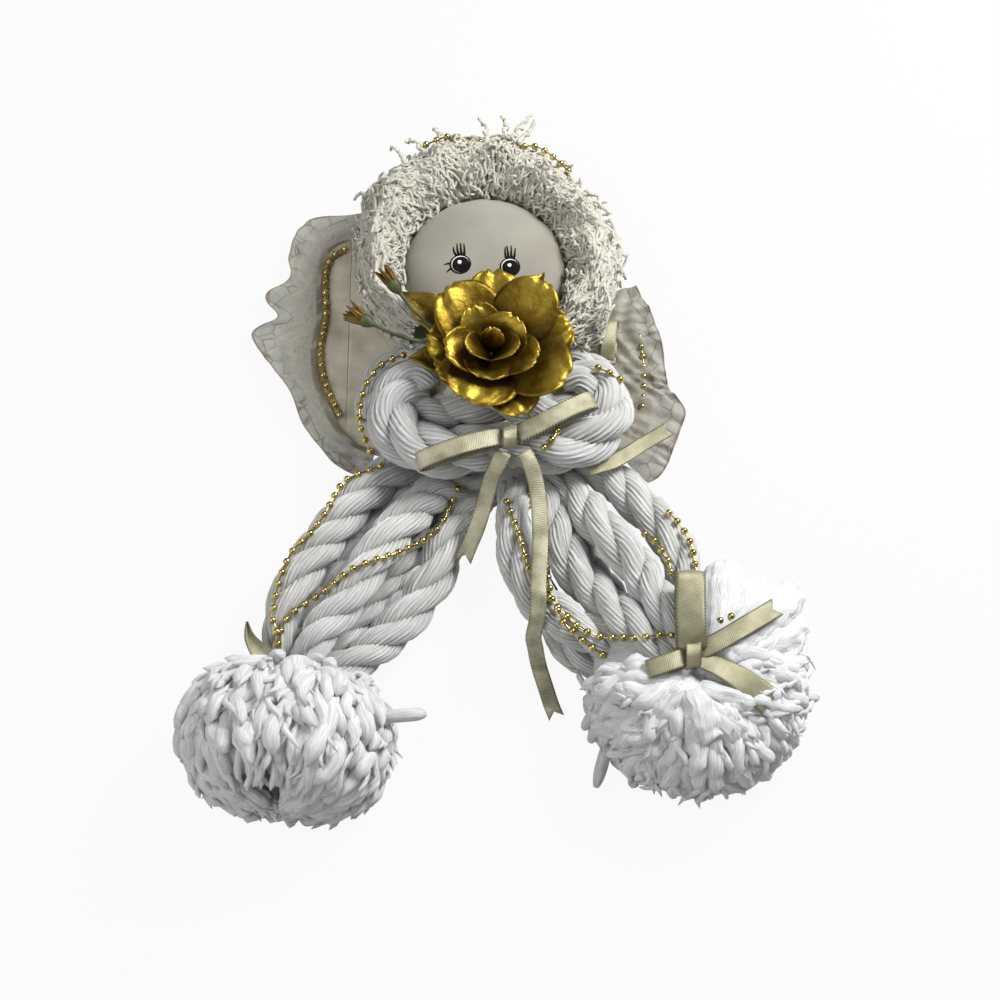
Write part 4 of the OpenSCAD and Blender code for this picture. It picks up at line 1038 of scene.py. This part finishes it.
eyes = [
    {"at": (-18.2, 85.6), "size": 4.6, "pupil": (-17.9, 85.4, 4.0), "glint": (-18.6, 86.6, 1.0), "lashes": [
        [(-20.0, 90.0), (-21.2, 92.2), (-21.4, 94.6)], [(-18.9, 90.4), (-19.6, 93.0), (-19.8, 96.4)],
        [(-17.6, 90.5), (-18.0, 93.4), (-18.2, 96.6)], [(-16.4, 90.2), (-16.4, 93.0), (-16.6, 96.2)],
        [(-22.6, 86.2), (-24.2, 86.0), (-25.8, 85.6)], [(-22.0, 83.8), (-23.4, 82.8), (-24.6, 81.6)]]},
    {"at": (4.6, 84.2), "size": 4.4, "pupil": (4.9, 83.9, 3.9), "glint": (4.3, 85.0, 0.95), "lashes": [
        [(3.0, 88.4), (2.4, 91.0), (2.4, 94.4)], [(4.1, 88.8), (3.6, 92.0), (3.2, 95.2)],
        [(5.3, 88.8), (5.2, 92.0), (5.2, 95.2)], [(6.4, 88.4), (6.8, 91.0), (7.1, 94.0)]]}]


def inkPatch(x, y, lift):
    # A grid laid on the face, lift above it
    rows, columns = x.shape
    points = np.stack([x, y, faceHeight(x, y) + lift], -1).reshape(-1, 3)
    return points, [gridFaces(rows, columns)], [np.zeros((4 * (rows - 1) * (columns - 1), 2))]


def inkDisc(at, size, inner=0.02, lift=0.15):
    r = np.linspace(inner, 1, 5)[:, None] * size
    w = np.linspace(0, 2 * np.pi, 33)[None]
    return inkPatch(at[0] + r * np.cos(w), at[1] + r * np.sin(w), lift)


def inkStroke(points, wide):
    path = smoothPath(points, 14)
    ahead = unit(np.gradient(path, axis=0))
    side = np.stack([ahead[:, 1], -ahead[:, 0]], -1)
    half = 0.5 * wide * np.linspace(1, 0.35, 14)[:, None, None]
    grid = path[:, None] + half * np.array([1.0, 0.0, -1.0])[None, :, None] * side[:, None]
    return inkPatch(grid[..., 0], grid[..., 1], 0.16)


dark, pale = [], []
for eye in eyes:
    pale.append(inkDisc(eye["at"], eye["size"] * 0.97, lift=0.12))
    dark.append(inkDisc(eye["at"], eye["size"] + 0.35, 0.87, 0.18))
    dark.append(inkDisc(eye["pupil"][:2], eye["pupil"][2], lift=0.2))
    pale.append(inkDisc(eye["glint"][:2], eye["glint"][2], lift=0.3))
    dark.extend(inkStroke(p, 1.15) for p in eye["lashes"])
for name, inks, ink in (("eyeInk", dark, inkBlack), ("eyeWhite", pale, inkWhite)):
    thicken(placePiece(name, joinParts(inks), ink, "torso"), 0.06)
print("head padded")


# Rose: petals that rise from a ring round the axis and curl at the lip

foilThick = 0.5
roseAt = np.array([0.0, 37.0])
# Each petal: turn in degrees, reach from the axis, half width
roseLayers = {
    "rose_outer_petals": {"base": 47.6, "rise": (4, 30), "curl": -34, "cup": 0.15, "ruffle": 0.7, "start": 4,
        "seed": 31, "petals": [(95, 38, 14), (168, 32, 13), (202, 29, 12), (287, 32, 12), (22, 33, 14)]},
    "rose_middle_petals": {"base": 49.4, "rise": (14, 40), "curl": -46, "cup": 0.3, "ruffle": 0.6, "start": 3.5,
        "seed": 32, "petals": [(131, 34, 16), (243, 29, 17), (331, 32, 16), (57, 34, 15)]},
    "rose_inner_petals": {"base": 50.4, "rise": (28, 62), "curl": -52, "cup": 0.7, "ruffle": 0.6, "start": 3,
        "seed": 33, "shift": (-3, -1), "petals": [(190, 19, 12), (262, 15, 13), (338, 18.5, 11), (52, 15, 12),
        (118, 18, 10)]},
    "rose_heart": {"base": 51.2, "rise": (48, 84), "curl": -44, "cup": 0.9, "ruffle": 0.4, "start": 0.8, "seed": 34,
        "shift": (-4, -1), "petals": [(205, 9, 8), (325, 10.5, 8), (80, 6, 6)]}}


def petalPart(settings, k, rng):
    turn, reach, wide = settings["petals"][k]
    low, high = settings["rise"]
    rows, columns = 15, 15
    v = np.linspace(0, 1, rows)
    u = np.linspace(-1, 1, columns)
    lean = np.radians(low + (high - low) * v + settings["curl"] * v ** 4)
    length = (reach - settings["start"]) / np.cos(np.radians((low + high) / 2))
    step = length / (rows - 1)
    r = settings["start"] + np.concatenate([[0], np.cumsum(np.cos(lean[:-1])) * step])
    z = settings["base"] + 0.35 * (k % 2) + np.concatenate([[0], np.cumsum(np.sin(lean[:-1])) * step])
    half = wide * (0.3 + 0.7 * np.sin(np.pi / 2 * np.minimum(1, v / 0.55)))
    half *= np.sqrt(1 - 0.88 * np.clip((v - 0.55) / 0.45, 0, 1) ** 2.2)
    across = half[:, None] * u
    bend = settings["cup"] * across ** 2 / (2 * np.maximum(r, 8)[:, None])
    phase = rng.uniform(0, 6.28)
    ruffle = settings["ruffle"]
    wave = ruffle * (v ** 2)[:, None] * (np.sin(2.6 * np.pi * u + phase) + 0.6 * np.sin(5 * u + 2 * phase))
    fold = 0.5 * ruffle * np.sin(7 * v[:, None] + 3 * u + phase) * (v[:, None] > 0.2)
    radial = r[:, None] - bend + 0.5 * wave
    crease = 0.9 * np.exp(-((u - 0.35 * np.sin(phase)) / 0.12) ** 2) * v[:, None]
    height = z[:, None] + wave + fold + crease + 0.35 * np.abs(bend)
    ray = np.array([np.cos(np.radians(turn)), np.sin(np.radians(turn))])
    side = np.array([-ray[1], ray[0]])
    centre = roseAt + np.array(settings.get("shift", (0, 0)))
    points = np.concatenate([centre + radial[..., None] * ray + across[..., None] * side, height[..., None]], -1)
    # Painted shade: darker towards the petal's base and sides, brightest at the lip
    depth = np.clip(1.05 - 1.15 * v[:, None] + 0.25 * u ** 2, 0, 1)
    return (points.reshape(-1, 3), [gridFaces(rows, columns)], [gridMap(v * length, u * wide)]), depth.ravel()


def foilPiece(node, made, material):
    # Petals or leaves, each with its depth mask
    parts, depths = zip(*made)
    thicken(standFor(node, joinParts(parts), material, {"depth": np.concatenate(depths)}), foilThick)


for node, settings in roseLayers.items():
    petalDice = np.random.default_rng(settings["seed"])
    foilPiece(node, [petalPart(settings, k, petalDice) for k in range(len(settings["petals"]))], goldFoil)

leaves = [
    {"root": (-5, 38.5), "tip": (-45, 67), "z": (45.6, 50), "wide": 10},
    {"root": (-6.5, 34), "tip": (-41, 36), "z": (45.4, 46.5), "wide": 8.5},
    {"root": (-3, 41), "tip": (-26, 66), "z": (45.6, 48.5), "wide": 8.5},
    {"root": (3, 41), "tip": (20, 77), "z": (45.6, 49.5), "wide": 8.5}]


def leafPart(settings):
    rows, columns = 18, 9
    v = np.linspace(0, 1, rows)
    u = np.linspace(-1, 1, columns)
    root, tip = np.array(settings["root"], float), np.array(settings["tip"], float)
    ahead = unit(tip - root)
    side = np.array([-ahead[1], ahead[0]])
    half = settings["wide"] * np.sin(np.pi * v ** 0.75) ** 0.8 * (1 + 0.1 * np.sin(19 * v)) + 0.05
    low, high = settings["z"]
    z = low + (high - low) * v + 2.2 * np.sin(np.pi * v)
    height = z[:, None] + 1.6 * np.abs(u) - 0.8 + 0.5 * np.sin(14 * v[:, None] + 4 * np.abs(u))
    place = root + v[:, None, None] * (tip - root) + (half[:, None] * u)[..., None] * side
    points = np.concatenate([place, height[..., None]], -1)
    # Painted shade: darker at the root and along the middle fold, lighter towards the tip and edges
    depth = 0.75 - 0.4 * v[:, None] - 0.35 * np.abs(u)
    return (points.reshape(-1, 3), [gridFaces(rows, columns)[:, ::-1]],
            [gridMap(v * 40, u * settings["wide"])]), depth.ravel()


foilPiece("rose_leaves", [leafPart(settings) for settings in leaves], leafFoil)

# Two buds, each a stem, a cup at its end and a ring of thin sepals that open like a brush
budShape = {"stem": 0.9, "sepals": 13, "long": 9.5, "cup": [1.0, 1.5, 2.1, 2.6, 3.0, 3.2, 3.2, 2.9, 2.4]}
budStems = [
    [[-8.2, 38.2, 46.2], [-18, 43, 49.6], [-27, 46.5, 51.4], [-38, 55, 54.5], [-46, 65, 56.5]],
    [[-8.6, 35.4, 46.2], [-18, 37.4, 49.4], [-28, 40, 51], [-46, 44, 53.4], [-58, 50, 53.5]]]


def budParts(route, seed):
    rng = np.random.default_rng(seed)
    stem = smoothPath(route, 30)
    ahead = unit(stem[-1] - stem[-4])
    side = unit(np.cross(ahead, upward))
    lift = np.cross(side, ahead)
    cup = stem[-1] + ahead * np.linspace(-2.5, 5, 9)[:, None]
    count = budShape["sepals"]
    w = np.linspace(0, 2 * np.pi, count, endpoint=False)[:, None] + rng.uniform(-0.2, 0.2, (count, 1))
    t = np.linspace(0, 1, 9)[None]
    spread = rng.uniform(0.3, 1.0, (count, 1))
    path = (stem[-1] + (2.5 + budShape["long"] * t)[..., None] * ahead
            + (1.6 + 4.2 * spread * t ** 1.4)[..., None] * spokes(w, side, lift))
    return (tubeSet(stem[None], budShape["stem"], 8), tubeSet(cup[None], budShape["cup"], 12),
            tubeSet(path, 1.25 * np.sin(np.pi * (0.25 + 0.75 * t)) + 0.12, 6))


madeBuds = [budParts(route, 40 + k) for k, route in enumerate(budStems)]
standFor("bud_stems", joinParts([part for bud in madeBuds for part in bud[:2]]), stemGreen)
budHeads = joinParts([bud[2] for bud in madeBuds])
standFor("bud_heads", budHeads, budFoil, {"depth": np.resize([0.9, 0.2], len(budHeads[0]))})
print("rose made")


# Bead strings: balls at an even pitch on a thread

beadShape = {"ball": 1.72, "pitch": 5.5, "thread": 0.4, "rows": 8, "columns": 12}
beadStrings = {
    "halo_beads": [[[-35, 150, 39], [-24, 154, 39.6], [-12, 153, 37], [6, 150, 37], [16, 148.5, 40], [24, 143, 41],
        [32, 134, 42]]],
    "chest_beads": [
        [[-44, 43.5, 33], [-53, 39, 34], [-60, 30, 34], [-63, 20, 33], [-63, 9, 33], [-58, -3, 32]],
        [[27, 6, 45], [25.2, 0.6, 46], [22, -4.6, 46.8], [19.4, -7.4, 46.8]],
        [[44, 32.5, 43.4], [48, 30.5, 43.4], [53.7, 27.4, 42.4]]],
    "left_outer_beads": [[[-53.8, -7.5, 24.6], [-59.3, -10.1, 25.8], [-64.8, -12.2, 25.6], [-70, -15.4, 26],
        [-72.8, -21.1, 28], [-77.9, -33.1, 30.9], [-81.1, -38.3, 31.4], [-84.6, -43.1, 31.5], [-88.8, -47.1, 30.9],
        [-92.2, -51.7, 30.5], [-96.3, -62.9, 30.7], [-98.3, -74.4, 29.8], [-98.9, -80, 28.8], [-97, -85.3, 28],
        [-96.6, -96.2, 25.2]]],
    "left_cross_beads": [[[-18.8, -16.5, 19.4], [-21.9, -22.7, 17.4], [-25.3, -31, 18.5], [-30, -38, 20.5],
        [-36, -45, 27.5], [-43, -51, 34.3], [-48.9, -54.2, 37.4], [-54.3, -56.6, 39.2], [-59.6, -59, 39.8],
        [-64.8, -61.3, 39.1], [-69.4, -64.4, 37.3], [-75.8, -68.4, 33], [-82, -71.4, 28.8], [-88.7, -75.6, 27.8],
        [-92.7, -80, 28.5], [-95.2, -85.1, 27.9], [-96.1, -90.6, 26.7]]],
    "right_outer_beads": [
        [[74.9, -31.5, 29.5], [79, -36.6, 30.2], [82.2, -42.3, 30.7], [84.4, -48.4, 31], [85.1, -55, 31.5],
            [86, -61.5, 31.7]],
        [[64.1, -40.4, 26.4], [68.5, -44.3, 27.8], [71.5, -49.6, 28.7], [74.2, -55.2, 29.4], [74.6, -59, 30]]],
    "right_front_beads": [[[14.6, -16, 26], [14, -21.5, 27], [14.4, -28, 27.6], [16.3, -34.2, 26],
        [18.2, -42.4, 26.6], [19.5, -51.5, 29.9], [20.5, -60.9, 33.8], [21.3, -66.8, 35.6], [22.3, -73.2, 37],
        [24.7, -78.6, 37], [27.3, -83.7, 36.2], [31.3, -87.7, 35.2], [35.3, -91.4, 33.8], [40, -94.4, 32],
        [44.8, -97.1, 30.2], [50.2, -99.6, 30], [56, -101.4, 34.6], [60.4, -103, 39.2], [65.7, -104.1, 42.6]]],
    "right_inner_beads": [
        [[3.1, -27.5, 32.6], [5.1, -34.1, 34.6], [7.1, -40.3, 35.3], [8.9, -46.4, 35.8], [10.6, -52.6, 36.2],
            [12, -58.8, 36.8], [14.6, -64.2, 36.8], [18, -69.2, 37], [21.7, -73.8, 37.8], [25.7, -78.3, 37.2],
            [29.9, -82.3, 36.6], [34.2, -86.2, 36], [39.3, -88.6, 35.3], [44.9, -90.3, 35], [50.6, -91, 38],
            [55.8, -92.5, 42.4], [61.4, -92.9, 45], [67.1, -92.3, 46.4], [72.6, -92.5, 47.4]],
        [[93, -86.5, 48], [100, -83.5, 47.4], [106.8, -80, 44.5]],
        [[94, -95, 48], [101, -92.4, 47], [109, -89, 43.5]]],
    "left_wing_beads": [[[-75, 113, 4.7], [-81.5, 108, 4.7], [-84, 97, 4.7], [-83, 78, 4.7], [-85, 58, 4.7],
        [-82, 42, 4.7], [-75, 26, 4.7]]],
    "right_wing_beads": [[[66.2, 66, 4.7], [67.5, 56, 4.7], [67.8, 44, 4.7], [66.4, 30, 4.7]]]}


def ballSet(middles):
    rows, columns = beadShape["rows"], beadShape["columns"]
    lean = np.linspace(0.12, np.pi - 0.12, rows)
    w = np.linspace(0, 2 * np.pi, columns, endpoint=False)
    shape = np.stack([np.sin(lean)[:, None] * np.cos(w), np.sin(lean)[:, None] * np.sin(w),
                      np.cos(lean)[:, None] + 0 * w], -1).reshape(-1, 3)
    shape = np.concatenate([shape, [[0, 0, 1], [0, 0, -1]]]) * beadShape["ball"]
    shift = (np.arange(len(middles)) * len(shape))[:, None, None]
    quads = (gridFaces(rows, columns, True)[:, ::-1] + shift).reshape(-1, 4)
    fans = (turned(poleFans(rows, columns)) + shift).reshape(-1, 3)
    points = middles[:, None] + shape[None]
    return points.reshape(-1, 3), [quads, fans], [np.zeros((quads.size, 2)), np.zeros((fans.size, 2))]


def beadString(route):
    path = smoothPath(route, 20 * len(route))
    count = int(round(lengthAlong(path)[-1] / beadShape["pitch"])) + 1
    return joinParts([ballSet(evenly(path, count)), tubeSet(path[None], beadShape["thread"], 6)])


for node, routes in beadStrings.items():
    standFor(node, joinParts([beadString(route) for route in routes]), goldBead)
print("beads strung:", len(beadStrings))

# Braid that the left wing's beads lie on
braidRoute = smoothPath(beadStrings["left_wing_beads"][0], 90) - [0, 0, 1.3]
braidRadii = 1.7 * (1 + 0.18 * np.sin(np.arange(90) * 2.4))
placePiece("leftWingBraid", tubeSet(braidRoute[None], braidRadii, 10), seamBraid, "left_wing")

# Padded panel behind the doll, its wing strips and the lace; each wing strip runs out from a fold line of constant x
folds = {"left": (-72.0, -1), "right": (64.0, 1)}
panel = {
    "thick": 2.7, "middle": (-4, 55), "press": 1.85, "pressAt": (-17, 0), "pressSize": (20, 13),
    "outline": [[-20, 122], [-52, 120], [-76, 119], [-86, 112], [-89, 98], [-88, 78], [-90, 58], [-87, 40], [-79, 22],
        [-66, 10], [-44, 3], [-20, -6], [4, -15], [26, -6], [46, 0], [62, 6], [69, 20], [73, 44], [72, 62], [66, 76],
        [50, 84], [30, 92], [8, 112]],
    "profile": [[0, 2.7], [0.02, 2.7], [0.25, 2.85], [0.5, 3.1], [0.75, 3.0], [0.93, 2.8], [1.0, 1.6], [0.93, 0.3],
        [0.6, 0], [0.3, 0], [0.02, 0], [0, 0]]}


def panelPart():
    # Rings from the middle to the outline, pillowed, and back underneath
    leftFold, rightFold = folds["left"][0], folds["right"][0]
    edge = smoothPath(panel["outline"] + panel["outline"][:1], 161)[:-1]
    edge[:, 0] = np.clip(edge[:, 0], leftFold + 0.2, rightFold - 0.2)
    middle = np.array(panel["middle"], float)
    rings = 20
    outward = np.append(np.linspace(0.04, 0.99, rings - 1), 1.0)
    shares = np.concatenate([outward, [1.0], outward[::-1]])
    level = panel["thick"] * np.repeat([1, 0.5, 0], [rings, 1, rings])[:, None] + 0 * edge[:, 0]
    free = (edge[:, 0] > leftFold + 0.3) & (edge[:, 0] < rightFold - 0.3)
    drop = np.clip((shares - 0.92) / 0.08, 0, 1)[:, None] ** 2 * free
    level[:rings] -= 1.2 * drop[:rings]
    level[rings + 1:] += 0.8 * drop[rings + 1:]
    place = middle + shares[:, None, None] * (edge - middle)
    x, y = place[..., 0], place[..., 1]
    wrinkle = 0.15 * np.sin(x * 0.3 + 2 * np.sin(y * 0.16)) * (level > 2)
    for fold in (leftFold, rightFold):
        wrinkle = wrinkle * np.clip(np.abs(x - fold) / 8, 0, 1)
    # Pressed in where the left leg's ropes swing over it
    (atX, atY), (wideX, wideY) = panel["pressAt"], panel["pressSize"]
    press = panel["press"] * np.exp(-((x - atX) / wideX) ** 2 - ((y - atY) / wideY) ** 2) * (1 - drop) * (level > 2)
    points = np.concatenate([place, (level + wrinkle - press)[..., None]], -1)
    rows, columns = points.shape[:2]
    faces, fans = gridFaces(rows, columns, True), poleFans(rows, columns)
    points = np.concatenate([points.reshape(-1, 3), [[*middle, panel["thick"]], [*middle, 0]]])
    return points, [faces, fans], [points[faces.ravel(), :2], points[fans.ravel(), :2]]


panelPiece = standFor("back_panel", panelPart(), panelSatin)


def wingStrip(outer, fold, toward):
    # Closed strip from the fold line to the outer edge, through the profile's shares of the width and heights
    edge = smoothPath(outer, 60)
    profile = np.array(panel["profile"])
    x = fold + (edge[:, :1] - fold) * profile[:, 0]
    x[:, 0] = x[:, -1] = fold + 0.05 * toward
    y = edge[:, 1:] + 0 * x
    z = profile[:, 1] + 0.18 * np.sin(y * 0.6 + x * 0.8) * (profile[:, 1] > 2) * np.clip(profile[:, 0] * 3, 0, 1)
    points = np.stack([x, y, z], -1).reshape(-1, 3)
    rows, columns = x.shape
    faces = gridFaces(rows, columns, True)
    caps = np.stack([np.arange(columns)[::-1], (rows - 1) * columns + np.arange(columns)])
    if toward < 0:
        faces, caps = faces[:, ::-1], caps[:, ::-1]
    return points, [faces, caps], [points[faces.ravel(), :2], points[caps.ravel(), :2]]


def sewOn(piece, node, fold, toward):
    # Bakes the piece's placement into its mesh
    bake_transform(piece)


wings = {
    "left": [[-72.6, 119], [-78, 118], [-86, 112], [-89, 98], [-88, 78], [-90, 58], [-87, 40], [-79, 22],
        [-72.6, 15.5]],
    "right": [[64.6, 77], [66, 76], [72, 62], [73, 44], [69, 20], [64.6, 10]]}
for side, outer in wings.items():
    node = side + "_wing_panel"
    wingPiece = standFor(node, wingStrip(outer, *folds[side]), panelSatin, rides=False)
    sewOn(wingPiece, node, *folds[side])

laces = {
    "left": {"seed": 51, "seam": [[-58, 121], [-66, 120], [-74, 117], [-82, 112], [-86, 98], [-85, 78], [-87, 58],
        [-84, 41], [-77, 25], [-70, 14], [-58, 8]], "edge": [[-56, 131], [-73, 131], [-90, 129], [-98, 121],
        [-102, 108], [-101, 97], [-112, 86], [-106, 76], [-118, 67], [-107, 49], [-98, 36], [-92, 21], [-82, 7],
        [-73, -2], [-60, -6]]},
    "right": {"seed": 52, "seam": [[46, 88], [52, 66], [53, 46], [54, 24], [53, 8]], "edge": [[65, 92], [72, 78],
        [77, 60], [79, 40], [86.5, 28], [84, 18], [80, 7], [75, -4], [68, -9]]}}


def lacePart(settings, toward):
    rows, columns = 150, 16
    seam, edge = smoothPath(settings["seam"], rows), smoothPath(settings["edge"], rows)
    t = np.linspace(0, 1, rows)[:, None]
    v = np.linspace(0, 1, columns)[None]
    phase = np.random.default_rng(settings["seed"]).uniform(0, 6.28, 3)
    place = seam[:, None] + v[..., None] * (edge - seam)[:, None]
    bend = t + 0.03 * np.sin(2 * np.pi * 3 * t + phase[2]) + 0.02 * v * np.sin(2 * np.pi * 5 * t + phase[0])
    ripple = (np.sin(2 * np.pi * 6 * bend + phase[0]) + 0.6 * np.sin(2 * np.pi * 15 * bend + phase[1])) * v
    z = 4.4 + 2.2 * v + 0.9 * ripple + 0.7 * np.sin(16 * v + 9 * np.sin(7 * t) + phase[2])
    points = np.concatenate([place, z[..., None]], -1).reshape(-1, 3)
    faces = gridFaces(rows, columns)[:, ::-toward]
    # Area from the cross product of each face's diagonals
    a, b, c, d = (points[faces[:, k]] for k in range(4))
    area = 0.5 * np.linalg.norm(np.cross(c - a, d - b), axis=1).sum()
    return (points, [faces], [points[faces.ravel(), :2]]), np.tile(v[0], rows), area, lengthAlong(edge)[-1]


for side, settings in laces.items():
    node = side + "_wing_lace"
    part, reach, area, long = lacePart(settings, folds[side][1])
    lacePiece = standFor(node, part, laceNet, {"reach": reach}, rides=False)
    sewOn(lacePiece, node, *folds[side])
print("wings sewn")


# Bindings wound round the ankles, and the flat ribbon on the left one

winding = {"radius": 11.6, "turns": 4, "pitch": 1.5, "thick": 0.8}
band = {"radius": 13.2, "wide": 5.5, "rows": 61, "columns": 7}
ankles = {"left_ankle_binding": ([-86, -104, 18], [-0.1, -0.98, 0.15]),
          "right_ankle_binding": ([81, -98, 32], [0.66, -0.7, -0.26])}


def windingPart(at, direction):
    axis, across, rise = axesAlong(direction)
    turns = winding["turns"]
    t = np.linspace(0, 1, 36 * turns)
    path = (np.array(at, float) + ((t - 0.5) * turns * winding["pitch"])[:, None] * axis
            + winding["radius"] * spokes(2 * np.pi * turns * t, across, rise))
    return tubeSet(path[None], winding["thick"], 8)


def bandPart(at, direction):
    axis, across, rise = axesAlong(direction)
    rows, columns = band["rows"], band["columns"]
    w = np.linspace(0, 2 * np.pi, rows)[:, None]
    v = np.linspace(-1, 1, columns)
    points = (np.array(at, float) + (0.5 * band["wide"] * v)[:, None] * axis
              + (band["radius"] + 0.35 * (1 - v ** 2))[:, None] * spokes(w, across, rise))
    flat = gridMap(np.linspace(0, 6.28 * band["radius"], rows), 0.5 * band["wide"] * v)
    return (points.reshape(-1, 3), [gridFaces(rows, columns)[:, ::-1]], [flat]), edgeMask(v, rows)


for node, ankle in ankles.items():
    standFor(node, windingPart(*ankle), threadYarn)
bandMade, bandEdge = bandPart(*ankles["left_ankle_binding"])
thicken(standFor("left_ankle_ribbon", bandMade, ribbonWeave, {"edge": bandEdge}), ribbonShape["thick"])

# The CAD pieces that stay: threads, the card disc and the rose's wire and cup
kept = {"chest_stitch": threadYarn, "left_hip_binding": threadYarn, "right_hip_binding": threadYarn,
        "head_disc": cardBoard, "rose_stem": stemGreen, "rose_calyx": leafFoil}
for node, material in kept.items():
    cadMesh = frame["nodes"][node].data
    cadMesh.materials.clear()
    cadMesh.materials.append(material)


# Floor, lights and surroundings

def whiteToCamera(tree):
    rays = addNode(tree, "ShaderNodeLightPath").outputs
    seen = mathNode(tree, "MAXIMUM", rays["Is Camera Ray"], rays["Is Glossy Ray"])
    return mathNode(tree, "MAXIMUM", seen, rays["Is Transmission Ray"])


def layFloor(size, height, shadow):
    made = bpy.data.materials.new("paleFloor")
    made.use_nodes = True
    tree = made.node_tree
    tree.nodes.clear()
    glow, matte = addNode(tree, "ShaderNodeEmission"), addNode(tree, "ShaderNodeBsdfDiffuse")
    matte.inputs["Color"].default_value = (0.5, 0.5, 0.49, 1)
    blend, out = addNode(tree, "ShaderNodeMixShader"), addNode(tree, "ShaderNodeOutputMaterial")
    sources = (times(tree, whiteToCamera(tree), 1 - shadow), matte.outputs[0], glow.outputs[0])
    for source, socket in zip(sources, blend.inputs):
        tree.links.new(source, socket)
    tree.links.new(blend.outputs[0], out.inputs["Surface"])
    corners = np.array([[-1, -1, 0], [1, -1, 0], [1, 1, 0], [-1, 1, 0]]) * size / 2 + height * upward
    makePiece("floor", corners, [np.array([[0, 1, 2, 3]])], made)


layFloor(4000.0, -0.4, 0.07)

lampTarget = np.array((0, 0, 20))
lamps = {"keyLamp": {"at": (500, 400, 620), "size": 380, "power": 10.2},
         "fillLamp": {"at": (-520, -240, 620), "size": 700, "power": 2.6}}
for name, settings in lamps.items():
    glow = bpy.data.lights.new(name, "AREA")
    glow.size, glow.energy = settings["size"] * metre, settings["power"]
    lamp = bpy.data.objects.new(name, glow)
    lamp.location = np.array(settings["at"]) * metre
    lamp.rotation_euler = Vector(lampTarget - np.array(settings["at"])).to_track_quat("-Z", "Y").to_euler()
    bpy.context.scene.collection.objects.link(lamp)


def setWorld(zenith, horizon):
    # Even surroundings, dimmer overhead than round about
    world = bpy.data.worlds.new("paleWorld")
    world.use_nodes = True
    tree = world.node_tree
    sky = tree.nodes["Background"].inputs
    sky["Color"].default_value = (1, 1, 1, 1)
    high = mathNode(tree, "ABSOLUTE", axesIn(tree, "Generated")[2])
    tree.links.new(scaled(tree, high, zenith - horizon, horizon), sky["Strength"])
    bpy.context.scene.world = world


setWorld(0.1, 0.4)
bpy.context.scene.view_settings.view_transform = "Standard"
print("stage set")
